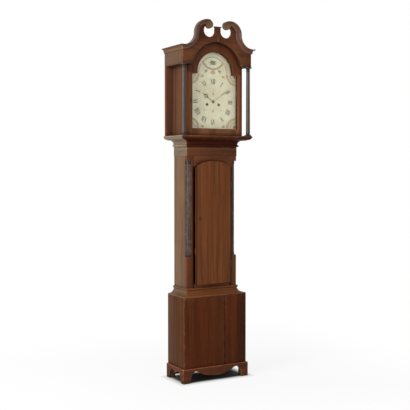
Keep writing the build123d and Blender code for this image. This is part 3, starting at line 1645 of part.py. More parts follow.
def hand(length, boss, width, pad_length, pad_width):
    """Outline of a pierced hand along x: boss, stem, oval pad and point."""
    middle = length * pad_place
    Circle(boss)
    with Locations((middle / 2, 0)):
        Rectangle(middle, width)
    with Locations((middle, 0)):
        Ellipse(pad_length, pad_width)
        Ellipse(pad_length * 0.6, pad_width * 0.55, mode=Mode.SUBTRACT)
    point_start = middle + pad_length * 0.8
    point_half = width * 0.8
    with BuildLine() as point:
        Polyline((point_start, -point_half), (length, 0), (point_start, point_half), close=True)
    make_face(point.edges())


with BuildPart() as minute_hand:
    with BuildSketch(pointing(minute_hand_y, dial_z, minute_turn)):
        hand(minute_hand_length, boss=7, width=2, pad_length=12, pad_width=3.4)
    extrude(amount=hand_thickness)
    rod(0, dial_z, minute_hand_y - hand_thickness - 1, plate_front - 6.3, minute_arbor)
minute_hand.part.label = "minute_hand"
export_step(minute_hand.part, "parts/minute_hand.step")

with BuildPart() as hour_hand:
    with BuildSketch(pointing(hour_hand_y, dial_z, hour_turn)):
        hand(hour_hand_length, boss=10, width=3.2, pad_length=14, pad_width=12)
    extrude(amount=hand_thickness)
    rod(0, dial_z, hour_hand_y - hand_thickness, plate_front - 8, pipe_radius)
    rod(0, dial_z, plate_front - 12, plate_front - 10, hour_wheel_radius)
    bore = minute_arbor + running_gap
    rod(0, dial_z, hour_hand_y - 2 * hand_thickness, plate_front, bore, mode=Mode.SUBTRACT)
hour_hand.part.label = "hour_hand"
export_step(hour_hand.part, "parts/hour_hand.step")

with BuildPart() as seconds_hand:
    with BuildSketch(pointing(dial_front - 2, escape_z, seconds_turn)):
        Circle(small_hand_boss)
        with Locations((6, 0)):
            Rectangle(34, 1.2)
    extrude(amount=small_hand_thickness)
seconds_hand.part.label = "seconds_hand"
export_step(seconds_hand.part, "parts/seconds_hand.step")

with BuildPart() as date_hand:
    with BuildSketch(pointing(dial_front - 1.2, date_z, date_turn)):
        Circle(small_hand_boss)
        with Locations((7, 0)):
            Rectangle(16, 1.4)
    extrude(amount=small_hand_thickness)
    rod(0, date_z, dial_front - 2, dial_back + 6, arbor_radius)
    rod(0, date_z, dial_back + 2, dial_back + 4, date_wheel_radius)
date_hand.part.label = "date_hand"
export_step(date_hand.part, "parts/date_hand.step")
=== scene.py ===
# %% [markdown]
# # A longcase clock in an old, dark wooden case
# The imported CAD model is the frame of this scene: it says where each board, wheel and hand sits, and
# which body each one moves with. Everything made here is in metres, in that same frame.

# %% Load the frame
import json
import math

import bpy
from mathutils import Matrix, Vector


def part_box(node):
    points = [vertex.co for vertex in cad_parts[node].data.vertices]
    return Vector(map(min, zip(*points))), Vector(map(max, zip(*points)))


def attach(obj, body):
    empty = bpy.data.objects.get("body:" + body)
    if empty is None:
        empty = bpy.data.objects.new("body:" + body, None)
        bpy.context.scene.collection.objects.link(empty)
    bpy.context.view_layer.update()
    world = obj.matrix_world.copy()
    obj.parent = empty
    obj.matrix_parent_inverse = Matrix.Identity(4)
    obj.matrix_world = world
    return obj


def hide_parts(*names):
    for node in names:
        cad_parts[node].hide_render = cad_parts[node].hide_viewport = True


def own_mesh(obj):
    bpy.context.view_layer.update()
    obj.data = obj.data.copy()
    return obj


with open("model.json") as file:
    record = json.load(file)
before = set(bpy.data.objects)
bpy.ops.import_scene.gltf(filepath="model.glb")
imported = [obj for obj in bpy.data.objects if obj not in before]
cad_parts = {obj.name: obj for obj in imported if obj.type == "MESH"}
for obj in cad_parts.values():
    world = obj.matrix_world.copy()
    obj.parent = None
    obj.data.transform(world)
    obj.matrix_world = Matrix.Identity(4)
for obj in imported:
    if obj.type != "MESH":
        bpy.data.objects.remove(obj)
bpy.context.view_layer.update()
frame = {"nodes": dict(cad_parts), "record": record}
nodes = frame["nodes"]
body_of_node = {n: b for b, ns in frame["record"]["behaviour"]["bodies"].items() for n in ns}
slot_of_node = {p["node"]: p["material_slot"] for p in frame["record"]["subparts"]}
scene = bpy.context.scene
MM = 0.001

# %% [markdown]
# ## Camera
# The photograph was taken from the front left, a little above the middle of the clock. The lens and the
# place come from fitting the case's straight edges. A tilt of under two degrees with a small shift keeps
# the uprights almost parallel, and leaves the clock in the picture when the camera goes round it.

# %% Camera
LENS, LENS_SHIFT = 73.0, -0.03
CAMERA_PLACE = (-2.5519, -4.4365, 1.3012)
CAMERA_TILT, CAMERA_TURN = 1.8, -29.65
CLOCK_MIDDLE = Vector((0, 0, 1.1))
camera_data = bpy.data.cameras.new("camera")
camera_data.lens = LENS
camera_data.shift_y = LENS_SHIFT
camera = bpy.data.objects.new("camera", camera_data)
camera.location = CAMERA_PLACE
camera.rotation_euler = (math.radians(90 - CAMERA_TILT), 0, math.radians(CAMERA_TURN))
scene.collection.objects.link(camera)
scene.camera = camera
scene.view_settings.view_transform = "Standard"
print("camera", round((camera.location - CLOCK_MIDDLE).length, 2), "m from the clock's middle")

# %% [markdown]
# ## Node helpers
# A material is a tree of small nodes. These helpers make the kinds that come back again and again: sums,
# smooth steps and mixed colours. Each takes numbers, colours or other nodes' sockets, so that they can be
# put inside one another like a formula.


# %% Node helpers
def node_tree(name):
    """A new material, its node tree and its Principled shader."""
    material = bpy.data.materials.new(name)
    material.use_nodes = True
    return material, material.node_tree, material.node_tree.nodes["Principled BSDF"]


def feed(socket, value):
    """Set a socket to a number, a vector or a colour, or link another node's socket to it."""
    if isinstance(value, bpy.types.NodeSocket):
        socket.id_data.links.new(value, socket)
    elif socket.type == "RGBA":
        socket.default_value = (*value, 1)
    else:
        socket.default_value = value


def put(node, values):
    """Feed a node's inputs, given by name."""
    for label, value in values.items():
        feed([s for s in node.inputs if s.name == label and s.enabled][0], value)


def math_node(tree, operation, *values):
    """A Math node; each value is a number or an output socket."""
    node = tree.nodes.new("ShaderNodeMath")
    node.operation = operation
    for socket, value in zip(node.inputs, values):
        feed(socket, value)
    return node.outputs[0]


def plus(tree, first, second):
    """The sum of two values."""
    return math_node(tree, "ADD", first, second)


def minus(tree, first, second):
    """The difference of two values."""
    return math_node(tree, "SUBTRACT", first, second)


def times(tree, first, second):
    """The product of two values."""
    return math_node(tree, "MULTIPLY", first, second)


def stepped(tree, value, low, high, to_low=0.0, to_high=1.0):
    """A smooth step from to_low to to_high as the value goes from low to high."""
    node = tree.nodes.new("ShaderNodeMapRange")
    node.interpolation_type = "SMOOTHSTEP"
    put(node, {"Value": value, "From Min": low, "From Max": high, "To Min": to_low, "To Max": to_high})
    return node.outputs[0]


def mixed(tree, share, first, second, blend="MIX"):
    """Mix two colours, each a socket or a colour, by a number or a socket."""
    node = tree.nodes.new("ShaderNodeMix")
    node.data_type = "RGBA"
    node.blend_type = blend
    put(node, {"Factor": share, "A": first, "B": second})
    return [s for s in node.outputs if s.enabled][0]


print("node helpers ready")

# %% [markdown]
# ## Texture helpers
# A texture starts from a point of the object. Stretched noise gives grain, stains and patches, and a height
# bends the light on a surface as if it were uneven.


# %% Texture helpers
def noise(tree, vector, stretch, detail=3.0, rough=0.55, distort=0.0):
    """Noise on a stretched copy of a point; stretch counts features per metre along x, y and z."""
    mapping = tree.nodes.new("ShaderNodeMapping")
    put(mapping, {"Vector": vector, "Scale": stretch})
    texture = tree.nodes.new("ShaderNodeTexNoise")
    put(texture, {"Vector": mapping.outputs[0], "Scale": 1.0, "Detail": detail})
    put(texture, {"Roughness": rough, "Distortion": distort})
    return texture.outputs["Fac"]


def object_point(tree):
    """The shaded point, in the object's own coordinates."""
    return tree.nodes.new("ShaderNodeTexCoord").outputs["Object"]


def split(tree, point):
    """The X, Y and Z of a point, by name."""
    parts = tree.nodes.new("ShaderNodeSeparateXYZ")
    feed(parts.inputs[0], point)
    return parts.outputs


def bumped(tree, shader, height, strength, distance):
    """Let a height bend the shader's normal."""
    bump = tree.nodes.new("ShaderNodeBump")
    put(bump, {"Strength": strength, "Distance": distance, "Height": height})
    put(shader, {"Normal": bump.outputs[0]})


def mix_surface(tree, share, first, second):
    """Make the surface a mix of two shaders."""
    mix = tree.nodes.new("ShaderNodeMixShader")
    for socket, value in zip(mix.inputs, (share, first.outputs[0], second.outputs[0])):
        feed(socket, value)
    put(tree.nodes["Material Output"], {"Surface": mix.outputs[0]})


print("texture helpers ready")

# %% [markdown]
# ## Light
# One large soft lamp on the left lights the clock's side about twice as strongly as its front, as in the
# photograph. A weaker one in front and an even grey world fill the rest. What the camera sees past the
# clock is plain white, so the world has a second, white face for camera, mirror and glass rays.

# %% Lamps and world
LAMP_TARGET = (0, 0, 1.2)
GREY_FILL, WHITE_BACKDROP = 0.36, 1.0


def soft_lamp(name, place, width, height, power):
    """A rectangular studio lamp turned towards the clock."""
    lamp = bpy.data.lights.new(name, "AREA")
    lamp.shape = "RECTANGLE"
    lamp.size, lamp.size_y = width, height
    lamp.energy = power
    holder = bpy.data.objects.new(name, lamp)
    holder.location = place
    holder.rotation_euler = (Vector(LAMP_TARGET) - Vector(place)).to_track_quat("-Z", "Y").to_euler()
    scene.collection.objects.link(holder)


def seen_ray(tree):
    """1 for rays that look at the background straight, in a mirror or through glass."""
    rays = tree.nodes.new("ShaderNodeLightPath").outputs
    direct = math_node(tree, "MAXIMUM", rays["Is Camera Ray"], rays["Is Glossy Ray"])
    return math_node(tree, "MAXIMUM", direct, rays["Is Transmission Ray"])


soft_lamp("window_lamp", (-3.4, -0.9, 2.2), 1.8, 2.6, 150)
soft_lamp("front_lamp", (1.6, -4.2, 2.6), 2.2, 2.2, 30)

world = bpy.data.worlds.new("studio")
scene.world = world
world.use_nodes = True
tree = world.node_tree
level = tree.nodes.new("ShaderNodeMapRange")
put(level, {"Value": seen_ray(tree), "To Min": GREY_FILL, "To Max": WHITE_BACKDROP})
put(tree.nodes["Background"], {"Color": (1, 1, 1), "Strength": level.outputs["Result"]})
print("two lamps and a grey world that looks white")

# %% [markdown]
# ## Floor
# A pale floor carries the shadow. Under the clock it is painted dark as shade, and around it matt paint, so
# the shade beside the feet is a real shadow. Further out it turns white for the camera and joins the
# background.

# %% Floor
FLOOR_SIZE = 60
FOOT_HALF_WIDTH, FOOT_HALF_DEPTH, FOOT_MIDDLE_Y = 0.227, 0.1115, 0.017
SHADED_FLOOR, PALE_FLOOR = (0.035, 0.032, 0.028), (0.88, 0.88, 0.87)


def deselect():
    """Leave edit mode and select nothing, so that the next operator acts on what it makes."""
    if bpy.context.object and bpy.context.object.mode != "OBJECT":
        bpy.ops.object.mode_set(mode="OBJECT")
    bpy.ops.object.select_all(action="DESELECT")


deselect()
bpy.ops.mesh.primitive_plane_add(size=FLOOR_SIZE, location=(0, 0, 0))
floor = bpy.context.object
floor.name = "floor"
floor_material, tree, paint = node_tree("pale_floor")
at = split(tree, object_point(tree))
out_x = minus(tree, math_node(tree, "ABSOLUTE", at["X"]), FOOT_HALF_WIDTH)
behind = minus(tree, at["Y"], FOOT_MIDDLE_Y)
out_y = minus(tree, math_node(tree, "ABSOLUTE", behind), FOOT_HALF_DEPTH)
away = math_node(tree, "MAXIMUM", out_x, out_y)
# Under the clock the floor is painted dark, as shade.
under = stepped(tree, away, -0.03, 0.004)
put(paint, {"Base Color": mixed(tree, under, SHADED_FLOOR, PALE_FLOOR), "Roughness": 0.8})
near = stepped(tree, away, -0.012, 0.05, 0.0, 0.86)
far = stepped(tree, away, 0.05, 1.5, 0.0, 0.14)
white = tree.nodes.new("ShaderNodeEmission")
mix_surface(tree, times(tree, seen_ray(tree), plus(tree, near, far)), paint, white)
floor.data.materials.append(floor_material)
print("floor", floor.dimensions[0], "m wide")

# %% [markdown]
# ## Wood grain
# Every board of the case shares one grain. Seen close, wood is long fibres with dark pores; from further
# off it has broad bands where the saw crossed the growth rings. One node group makes all of them from a
# point whose Z runs along the board, and puts out a colour, a height for the bump and a roughness.

# %% Grain group
COLOUR, NUMBER, POINT = "NodeSocketColor", "NodeSocketFloat", "NodeSocketVector"
PORE_COLOUR = (0.012, 0.006, 0.004)


def new_group(name, inputs, outputs):
    """An empty shader group with named sockets, given as name to socket type."""
    group = bpy.data.node_groups.new(name, "ShaderNodeTree")
    for label, kind in inputs.items():
        group.interface.new_socket(label, in_out="INPUT", socket_type=kind)
    for label, kind in outputs.items():
        group.interface.new_socket(label, in_out="OUTPUT", socket_type=kind)
    return group, group.nodes.new("NodeGroupInput").outputs, group.nodes.new("NodeGroupOutput")


grain, given, made = new_group(
    "wood_grain",
    {"Vector": POINT, "Dark": COLOUR, "Light": COLOUR, "Red": COLOUR},
    {"Color": COLOUR, "Height": NUMBER, "Roughness": NUMBER},
)
along = given["Vector"]
bands = noise(grain, along, (16, 16, 0.55), 4.0, 0.5, 1.6)
fibre = noise(grain, along, (210, 210, 3.2), 3.0, 0.6)
pores = stepped(grain, noise(grain, along, (640, 640, 11), 2.0, 0.5), 0.56, 0.74)
cloud = noise(grain, along, (5.5, 5.5, 2.2), 3.0, 0.55)
tone = plus(grain, times(grain, bands, 0.62), times(grain, fibre, 0.38))
colour = mixed(grain, stepped(grain, tone, 0.36, 0.66), given["Dark"], given["Light"])
colour = mixed(grain, stepped(grain, cloud, 0.40, 0.75, 0.0, 0.65), colour, given["Red"])
colour = mixed(grain, times(grain, pores, 0.55), colour, PORE_COLOUR)
height = minus(grain, times(grain, fibre, 0.5), pores)
rough = plus(grain, times(grain, cloud, 0.16), times(grain, pores, 0.18))
put(made, {"Color": colour, "Height": height, "Roughness": plus(grain, rough, 0.36)})
print("wood_grain group with", len(grain.nodes), "nodes")

# %% [markdown]
# ## Age
# Two hundred years leave rubbed edges and dirty corners. The Bevel node bends the normal near an edge, so
# the angle between it and the true normal shows where a hand or a cloth has rubbed the polish thin; on
# some boards that edge colour is also a painted highlight. Ambient occlusion finds the corners, which are
# darkened both as wax and dust and as painted shade. Fine scratches and dull patches break the gloss.

# %% Age group
EDGE_RADIUS, CORNER_REACH = 0.004, 0.035
# The near-black of the corners, laid on as dust and as painted shade.
GRIME_AND_SHADE_COLOUR = (0.010, 0.007, 0.005)
age, given, made = new_group(
    "old_polish",
    {"Color": COLOUR, "Worn and highlight": COLOUR, "Wear": NUMBER, "Grime and shade": NUMBER, "Roughness": NUMBER},
    {"Color": COLOUR, "Roughness": NUMBER},
)
point = object_point(age)
rounded = age.nodes.new("ShaderNodeBevel")
rounded.samples = 4
put(rounded, {"Radius": EDGE_RADIUS})
surface = age.nodes.new("ShaderNodeNewGeometry")
facing = age.nodes.new("ShaderNodeVectorMath")
facing.operation = "DOT_PRODUCT"
feed(facing.inputs[0], rounded.outputs[0])
feed(facing.inputs[1], surface.outputs["True Normal"])
edge = stepped(age, facing.outputs["Value"], 0.995, 0.86)
patchy = stepped(age, noise(age, point, (38, 38, 38), 4.0, 0.6), 0.38, 0.68)
edge = times(age, times(age, edge, patchy), given["Wear"])
# Corners hidden from the light darken: dust and wax, and painted shade.
corner = age.nodes.new("ShaderNodeAmbientOcclusion")
corner.samples = 6
put(corner, {"Distance": CORNER_REACH})
grime_and_shade = times(age, stepped(age, corner.outputs["AO"], 0.85, 0.35), given["Grime and shade"])
scuffs = stepped(age, noise(age, point, (90, 90, 22), 5.0, 0.7, 0.8), 0.66, 0.74)
scuffs = times(age, scuffs, times(age, given["Wear"], 0.22))
colour = mixed(age, edge, given["Color"], given["Worn and highlight"])
colour = mixed(age, scuffs, colour, given["Worn and highlight"])
colour = mixed(age, grime_and_shade, colour, GRIME_AND_SHADE_COLOUR)
dull = noise(age, point, (9, 9, 7), 4.0, 0.6)
rough = plus(age, given["Roughness"], times(age, minus(age, dull, 0.5), 0.22))
rough = plus(age, rough, times(age, plus(age, edge, grime_and_shade), 0.18))
put(made, {"Color": colour, "Roughness": rough})
print("old_polish group with", len(age.nodes), "nodes")

# %% [markdown]
# ## Direction of the grain
# Each board gets the shared grain turned along its own length: upright on panels and doors, sideways on
# rails, and round the corner on the mouldings, where the run changes at the mitre. Glued-up boards jump to
# another part of the pattern at each joint, and a tint darkens or lightens the part inside a box.

# %% Grain direction and tints
TINT_EDGE = 0.001
PLANK_JUMP = 3.7


def along_axis(tree, point, axis):
    """The point turned so that its z runs along an axis."""
    parts = split(tree, point)
    join = tree.nodes.new("ShaderNodeCombineXYZ")
    order = {"Z": "XYZ", "X": "ZYX", "Y": "XZY"}[axis]
    for label, socket in zip(order, join.inputs):
        feed(socket, parts[label])
    return join.outputs[0]


def mitred(tree, point, corner_x, corner_y):
    """Along X on the front run and along Y on the side runs, split on the mitre through a corner."""
    parts = split(tree, point)
    past_side = minus(tree, math_node(tree, "ABSOLUTE", parts["X"]), corner_x)
    past_front = minus(tree, corner_y, parts["Y"])
    on_side = math_node(tree, "GREATER_THAN", past_side, past_front)
    pick = tree.nodes.new("ShaderNodeMix")
    pick.data_type = "VECTOR"
    front, sides = along_axis(tree, point, "X"), along_axis(tree, point, "Y")
    put(pick, {"Factor": on_side, "A": front, "B": sides})
    return [s for s in pick.outputs if s.enabled][0], on_side


def planked(tree, point, turned, first, width):
    """Jump to another part of the grain at each plank joint across X."""
    count = math_node(tree, "DIVIDE", minus(tree, split(tree, point)["X"], first), width)
    jump = tree.nodes.new("ShaderNodeVectorMath")
    jump.operation = "ADD"
    feed(jump.inputs[0], turned)
    feed(jump.inputs[1], times(tree, math_node(tree, "FLOOR", count), PLANK_JUMP))
    return jump.outputs[0]


def tinted(tree, point, colour, tints):
    """Tint a colour inside a box; each tint is (axis to its range, colour)."""
    parts = split(tree, point)
    for ranges, tint in tints:
        share = 1.0
        for axis, (low, high) in ranges.items():
            after = stepped(tree, parts[axis], low - TINT_EDGE, low + TINT_EDGE)
            before = stepped(tree, parts[axis], high + TINT_EDGE, high - TINT_EDGE)
            share = times(tree, times(tree, after, before), share)
        colour = mixed(tree, share, colour, tint, "MULTIPLY")
    return colour


print("grain directions ready")

# %% [markdown]
# ## Wood finish
# A finish puts the steps together: the grain in three colours, then age, wear and the painted shade in
# corners, then tints, a faint bump and perhaps a coat of polish. A shift of the pattern for each board
# keeps neighbours from looking sawn from one plank.

# %% Wood finish
# How strongly the corners darken, as dust and as painted shade.
GRIME_AND_SHADE = 0.6
GRAIN_BUMP, GRAIN_DEPTH = 0.18, 0.0004
WORN = (0.20, 0.105, 0.05)


# The side colours that a mitred moulding takes are painted light on its lit sides, as well as fading.
def wood(
    name, dark, light, red, run="Z", side=None, shift=0.0, wear=0.5,
    worn_and_highlight=WORN, coat=0.0, shine=0.0, tints=(), planks=None,
):
    """A polished wood finish; run is an axis or the corner of a mitred moulding, side its side colours."""
    material, tree, shader = node_tree(name)
    point = object_point(tree)
    if isinstance(run, tuple):
        turned, on_side = mitred(tree, point, *run)
    else:
        turned = along_axis(tree, point, run)
    if planks:
        turned = planked(tree, point, turned, *planks)
    mapping = tree.nodes.new("ShaderNodeMapping")
    put(mapping, {"Vector": turned, "Location": (shift * 1.7, shift * 0.9, shift * 2.3)})
    figure = tree.nodes.new("ShaderNodeGroup")
    figure.node_tree = grain
    put(figure, {"Vector": mapping.outputs[0]})
    for label, value in (("Dark", dark), ("Light", light), ("Red", red)):
        if side:
            value = mixed(tree, on_side, value, side[label.lower()])
        put(figure, {label: value})
    polish = tree.nodes.new("ShaderNodeGroup")
    polish.node_tree = age
    gloss = minus(tree, figure.outputs["Roughness"], shine)
    put(polish, {"Color": figure.outputs["Color"], "Roughness": gloss})
    # The edge colour is rubbed polish, and on some boards a painted highlight along the edges.
    put(polish, {"Worn and highlight": worn_and_highlight, "Wear": wear, "Grime and shade": GRIME_AND_SHADE})
    colour = tinted(tree, point, polish.outputs["Color"], tints)
    put(shader, {"Base Color": colour, "Roughness": polish.outputs["Roughness"]})
    put(shader, {"Specular IOR Level": 0.05, "Coat Weight": coat, "Coat Roughness": 0.28})
    bumped(tree, shader, figure.outputs["Height"], GRAIN_BUMP, GRAIN_DEPTH)
    return material


print("wood finish ready")

# %% [markdown]
# ## Wood colours
# Mahogany is never one brown. Each part of the case has a dark, a light and a red colour that the grain
# runs between. The sides, which stood towards a window, are faded, and their colours are also painted
# lighter and greyer as lit sides; the fronts are redder and darker, and the throat's front is painted dark
# as shade.

# %% Wood colours
FRONT = dict(dark=(0.066, 0.023, 0.010), light=(0.140, 0.050, 0.021), red=(0.125, 0.036, 0.014))
DOOR = dict(dark=(0.105, 0.034, 0.0115), light=(0.228, 0.078, 0.027), red=(0.190, 0.050, 0.014))
HOOD_DOOR = dict(dark=(0.118, 0.044, 0.019), light=(0.250, 0.096, 0.041), red=(0.220, 0.070, 0.028))
# The throat's front colours are very dark as painted shade, since its cove faces down.
THROAT_IN_SHADE = dict(dark=(0.030, 0.0055, 0.0016), light=(0.072, 0.014, 0.004), red=(0.066, 0.010, 0.0026))
WAIST = dict(dark=(0.110, 0.036, 0.012), light=(0.235, 0.078, 0.026), red=(0.200, 0.056, 0.016))
# Side colours: faded wood, painted lighter and greyer as lit sides; the hood's side friezes as shaded
# sides.
FADED_LIT_SIDE = dict(dark=(0.094, 0.051, 0.028), light=(0.172, 0.101, 0.057), red=(0.135, 0.067, 0.035))
SHADED_SIDE = dict(dark=(0.068, 0.037, 0.020), light=(0.128, 0.074, 0.043), red=(0.100, 0.052, 0.028))
BRIGHT_FADED_LIT_SIDE = dict(dark=(0.160, 0.116, 0.077), light=(0.300, 0.220, 0.154), red=(0.235, 0.160, 0.103))
DULL_LIT_SIDE = dict(dark=(0.115, 0.084, 0.056), light=(0.215, 0.160, 0.112), red=(0.170, 0.116, 0.075))
HOOD_WALL = dict(dark=(0.054, 0.023, 0.012), light=(0.118, 0.051, 0.026), red=(0.104, 0.038, 0.018))
FRIEZE = dict(dark=(0.084, 0.029, 0.013), light=(0.180, 0.063, 0.027), red=(0.160, 0.045, 0.018))
BASE = dict(dark=(0.042, 0.0105, 0.0030), light=(0.100, 0.026, 0.0070), red=(0.092, 0.020, 0.0050))
BASE_SIDE = dict(dark=(0.046, 0.014, 0.0035), light=(0.090, 0.031, 0.0075), red=(0.064, 0.021, 0.0050))
PLINTH = dict(dark=(0.058, 0.017, 0.0070), light=(0.138, 0.044, 0.018), red=(0.122, 0.034, 0.013))
COLUMN = dict(dark=(0.033, 0.021, 0.015), light=(0.096, 0.064, 0.049), red=(0.070, 0.039, 0.027))
ROSETTE = dict(dark=(0.125, 0.064, 0.035), light=(0.240, 0.132, 0.076), red=(0.190, 0.098, 0.052))
INNER = dict(dark=(0.090, 0.050, 0.026), light=(0.200, 0.125, 0.070), red=(0.150, 0.090, 0.050))
BARE = dict(INNER, shine=-0.25)
# The necks' light edge colour is a painted highlight along their beads, as well as wear.
NECK = dict(FRONT, run="X", wear=1.0, worn_and_highlight=(0.42, 0.31, 0.23), coat=0.45, shine=0.08)
# The plinth's edge colour is a painted highlight along its edges, as well as wear.
WORN_COLUMN, PLINTH_WEAR_AND_HIGHLIGHT, WORN_PANEL = (0.20, 0.155, 0.125), (0.42, 0.26, 0.15), (0.30, 0.17, 0.09)
# The pediment's and blocks' edge colours are painted highlights along their edges, as well as wear.
PEDIMENT_WEAR_AND_HIGHLIGHT, BLOCK_WEAR_AND_HIGHLIGHT = (0.30, 0.19, 0.12), (0.32, 0.22, 0.15)
print("wood colours, the front's from", FRONT["dark"], "to", FRONT["light"])

# %% [markdown]
# ## Tints
# Some boards have a darker or lighter strip: painted shade in the gaps round the doors and in the hood
# door's arch, the dark turned ends of the columns, a painted highlight on rubbed top edges, painted light
# on the hood's posts, the shade behind a door's lip. Most places come from the boxes of the nodes.

# %% Tints
# Painted shade: the strip along the hood door's hinge side, and the strips in the gaps by the trunk door.
HINGE_GAP_SHADE, DOOR_GAP_SHADE = (0.30, 0.26, 0.25), (0.16, 0.14, 0.13)
# The rubbed tint is a painted highlight along top edges, as well as rubbed wear.
TURNED, RUBBED_HIGHLIGHT = (0.32, 0.28, 0.26), (2.4, 2.2, 2.1)
SHADOW, PANEL_GAP = (0.05, 0.045, 0.04), (0.3, 0.28, 0.26)
# The post tint is painted light on the hood's posts, and the arch tint is painted shade in the door's arch.
POST_LIGHT, ARCH_SHADE = (1.45, 1.3, 1.3), (0.62, 0.54, 0.52)
FAR = 3.0
PLANK = 0.155
PANEL_JOINT_X, PANEL_JOINT_HALF = 0.065, 0.003
trunk_corner = (0.173, -0.04025)
hood_wall_edge, hood_front_y = 0.192, -0.11
hood_arch_z, hinge_edge = 1.862, 0.183
highlight_depth, lip_shade = 0.003, 0.004
gap_outside, gap_inside, gap_below_top = 0.004, 0.012, 0.036
door_edge, door_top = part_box("trunk_door")[0][0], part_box("trunk_door")[1][2]
column_low, column_high = (corner[2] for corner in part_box("hood_columns"))
quarter_low, quarter_high = (corner[2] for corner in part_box("quarter_columns"))
frame_top, plinth_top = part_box("hood_base_frame")[1][2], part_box("plinth_front")[1][2]


def turned_ends(low, high, foot, cap):
    """Dark tints on the turned foot and cap of a column."""
    return [({"Z": (low, low + foot)}, TURNED), ({"Z": (high - cap, high)}, TURNED)]


door_heights = (0, door_top - gap_below_top)
# Painted shade in the gaps beside the trunk door's edges.
left_gap_shade = {"X": (door_edge - gap_outside, door_edge + gap_inside), "Z": door_heights}
right_gap_shade = {"X": (-door_edge - gap_inside, -door_edge + gap_inside), "Z": door_heights}
panel_gap = {"X": (PANEL_JOINT_X - PANEL_JOINT_HALF, PANEL_JOINT_X + PANEL_JOINT_HALF)}
# Painted highlights along the top edges of the plinth and of the hood's frame.
plinth_highlight = [({"Z": (plinth_top - highlight_depth, plinth_top)}, RUBBED_HIGHLIGHT)]
frame_highlight = [({"Y": (-1, hood_front_y), "Z": (frame_top - highlight_depth, frame_top)}, RUBBED_HIGHLIGHT)]
# Painted light on the hood's posts, outside its side walls.
post_light_tints = [({"X": (-1, -hood_wall_edge)}, POST_LIGHT), ({"X": (hood_wall_edge, 1)}, POST_LIGHT)]
# Painted shade in the hood door's arch and along its hinge side.
hood_door_tints = [
    ({"Z": (hood_arch_z, FAR)}, ARCH_SHADE),
    ({"X": (hinge_edge, 1), "Z": (0, hood_arch_z)}, HINGE_GAP_SHADE),
]
print("tints from the door's edge at", round(door_edge, 4), "m")

# %% [markdown]
# ## Finishes of the case
# The base, the plinth and the trunk. Fronts run upright, rails and the plinth run sideways, and the two
# mouldings and the frieze turn round the trunk's corner with paler sides, faded and painted lighter as lit.

# %% Case finishes
finishes = {
    "back_board": wood("backboard_oak", **BARE, shift=0.3, wear=0.3, planks=(-PLANK / 2, PLANK)),
    "base_front_panel": wood(
        "base_front_wood", **BASE, shift=1.1, wear=1.0, worn_and_highlight=WORN_PANEL,
        planks=(PANEL_JOINT_X, 1.0), tints=[(panel_gap, PANEL_GAP)],
    ),
    "base_sides": wood("base_side_wood", **BASE_SIDE, shift=2.3, wear=0.7),
    "base_floor": wood("base_floor_wood", **BARE, run="X", shift=3.1),
    "plinth_front": wood(
        "plinth_front_wood", **PLINTH, run="X", shift=4.7, wear=1.0, worn_and_highlight=PLINTH_WEAR_AND_HIGHLIGHT, tints=plinth_highlight,
    ),
    "plinth_sides": wood(
        "plinth_side_wood", **PLINTH, run="Y", shift=5.9, wear=1.0, worn_and_highlight=PLINTH_WEAR_AND_HIGHLIGHT, tints=plinth_highlight,
    ),
    "foot_blocks": wood("foot_block_wood", **BARE, shift=6.1),
    "waist_moulding": wood("waist_wood", **WAIST, run=trunk_corner, side=FADED_LIT_SIDE, shift=7.2, wear=0.9),
    "throat_moulding": wood(
        "throat_wood", **THROAT_IN_SHADE, run=trunk_corner, side=BRIGHT_FADED_LIT_SIDE, shift=8.4, wear=0.7,
    ),
    "trunk_sides": wood("trunk_side_wood", **FADED_LIT_SIDE, shift=9.3, wear=0.6),
    "trunk_stiles": wood(
        "trunk_stile_wood", **FRONT, shift=10.2, wear=0.7,
        tints=[(left_gap_shade, DOOR_GAP_SHADE), (right_gap_shade, DOOR_GAP_SHADE)],
    ),
    "trunk_rails": wood("trunk_rail_wood", **FRIEZE, run="X", shift=11.6, wear=0.7),
    "trunk_frieze_board": wood(
        "trunk_frieze_wood", **FRIEZE, run=trunk_corner, side=DULL_LIT_SIDE, shift=12.4, wear=0.7,
    ),
    "quarter_columns": wood(
        "quarter_column_wood", **COLUMN, shift=13.8, wear=1.0, worn_and_highlight=WORN_COLUMN, coat=0.25, shine=0.05,
        tints=turned_ends(quarter_low, quarter_high, 0.014, 0.020),
    ),
    "trunk_door": wood(
        "trunk_door_wood", **DOOR, shift=14.5, wear=0.6,
        tints=[({"X": (-1, door_edge + lip_shade)}, SHADOW)],
    ),
    "seat_board": wood("seat_board_wood", **BARE, run="X", shift=28.2),
}
print(len(finishes), "case finishes")

# %% [markdown]
# ## Finishes of the hood
# The hood's columns and swan necks have the most polish left, so they carry a clear coat, and the necks'
# light edges are also a painted highlight. The two necks differ only in the shift of the grain.

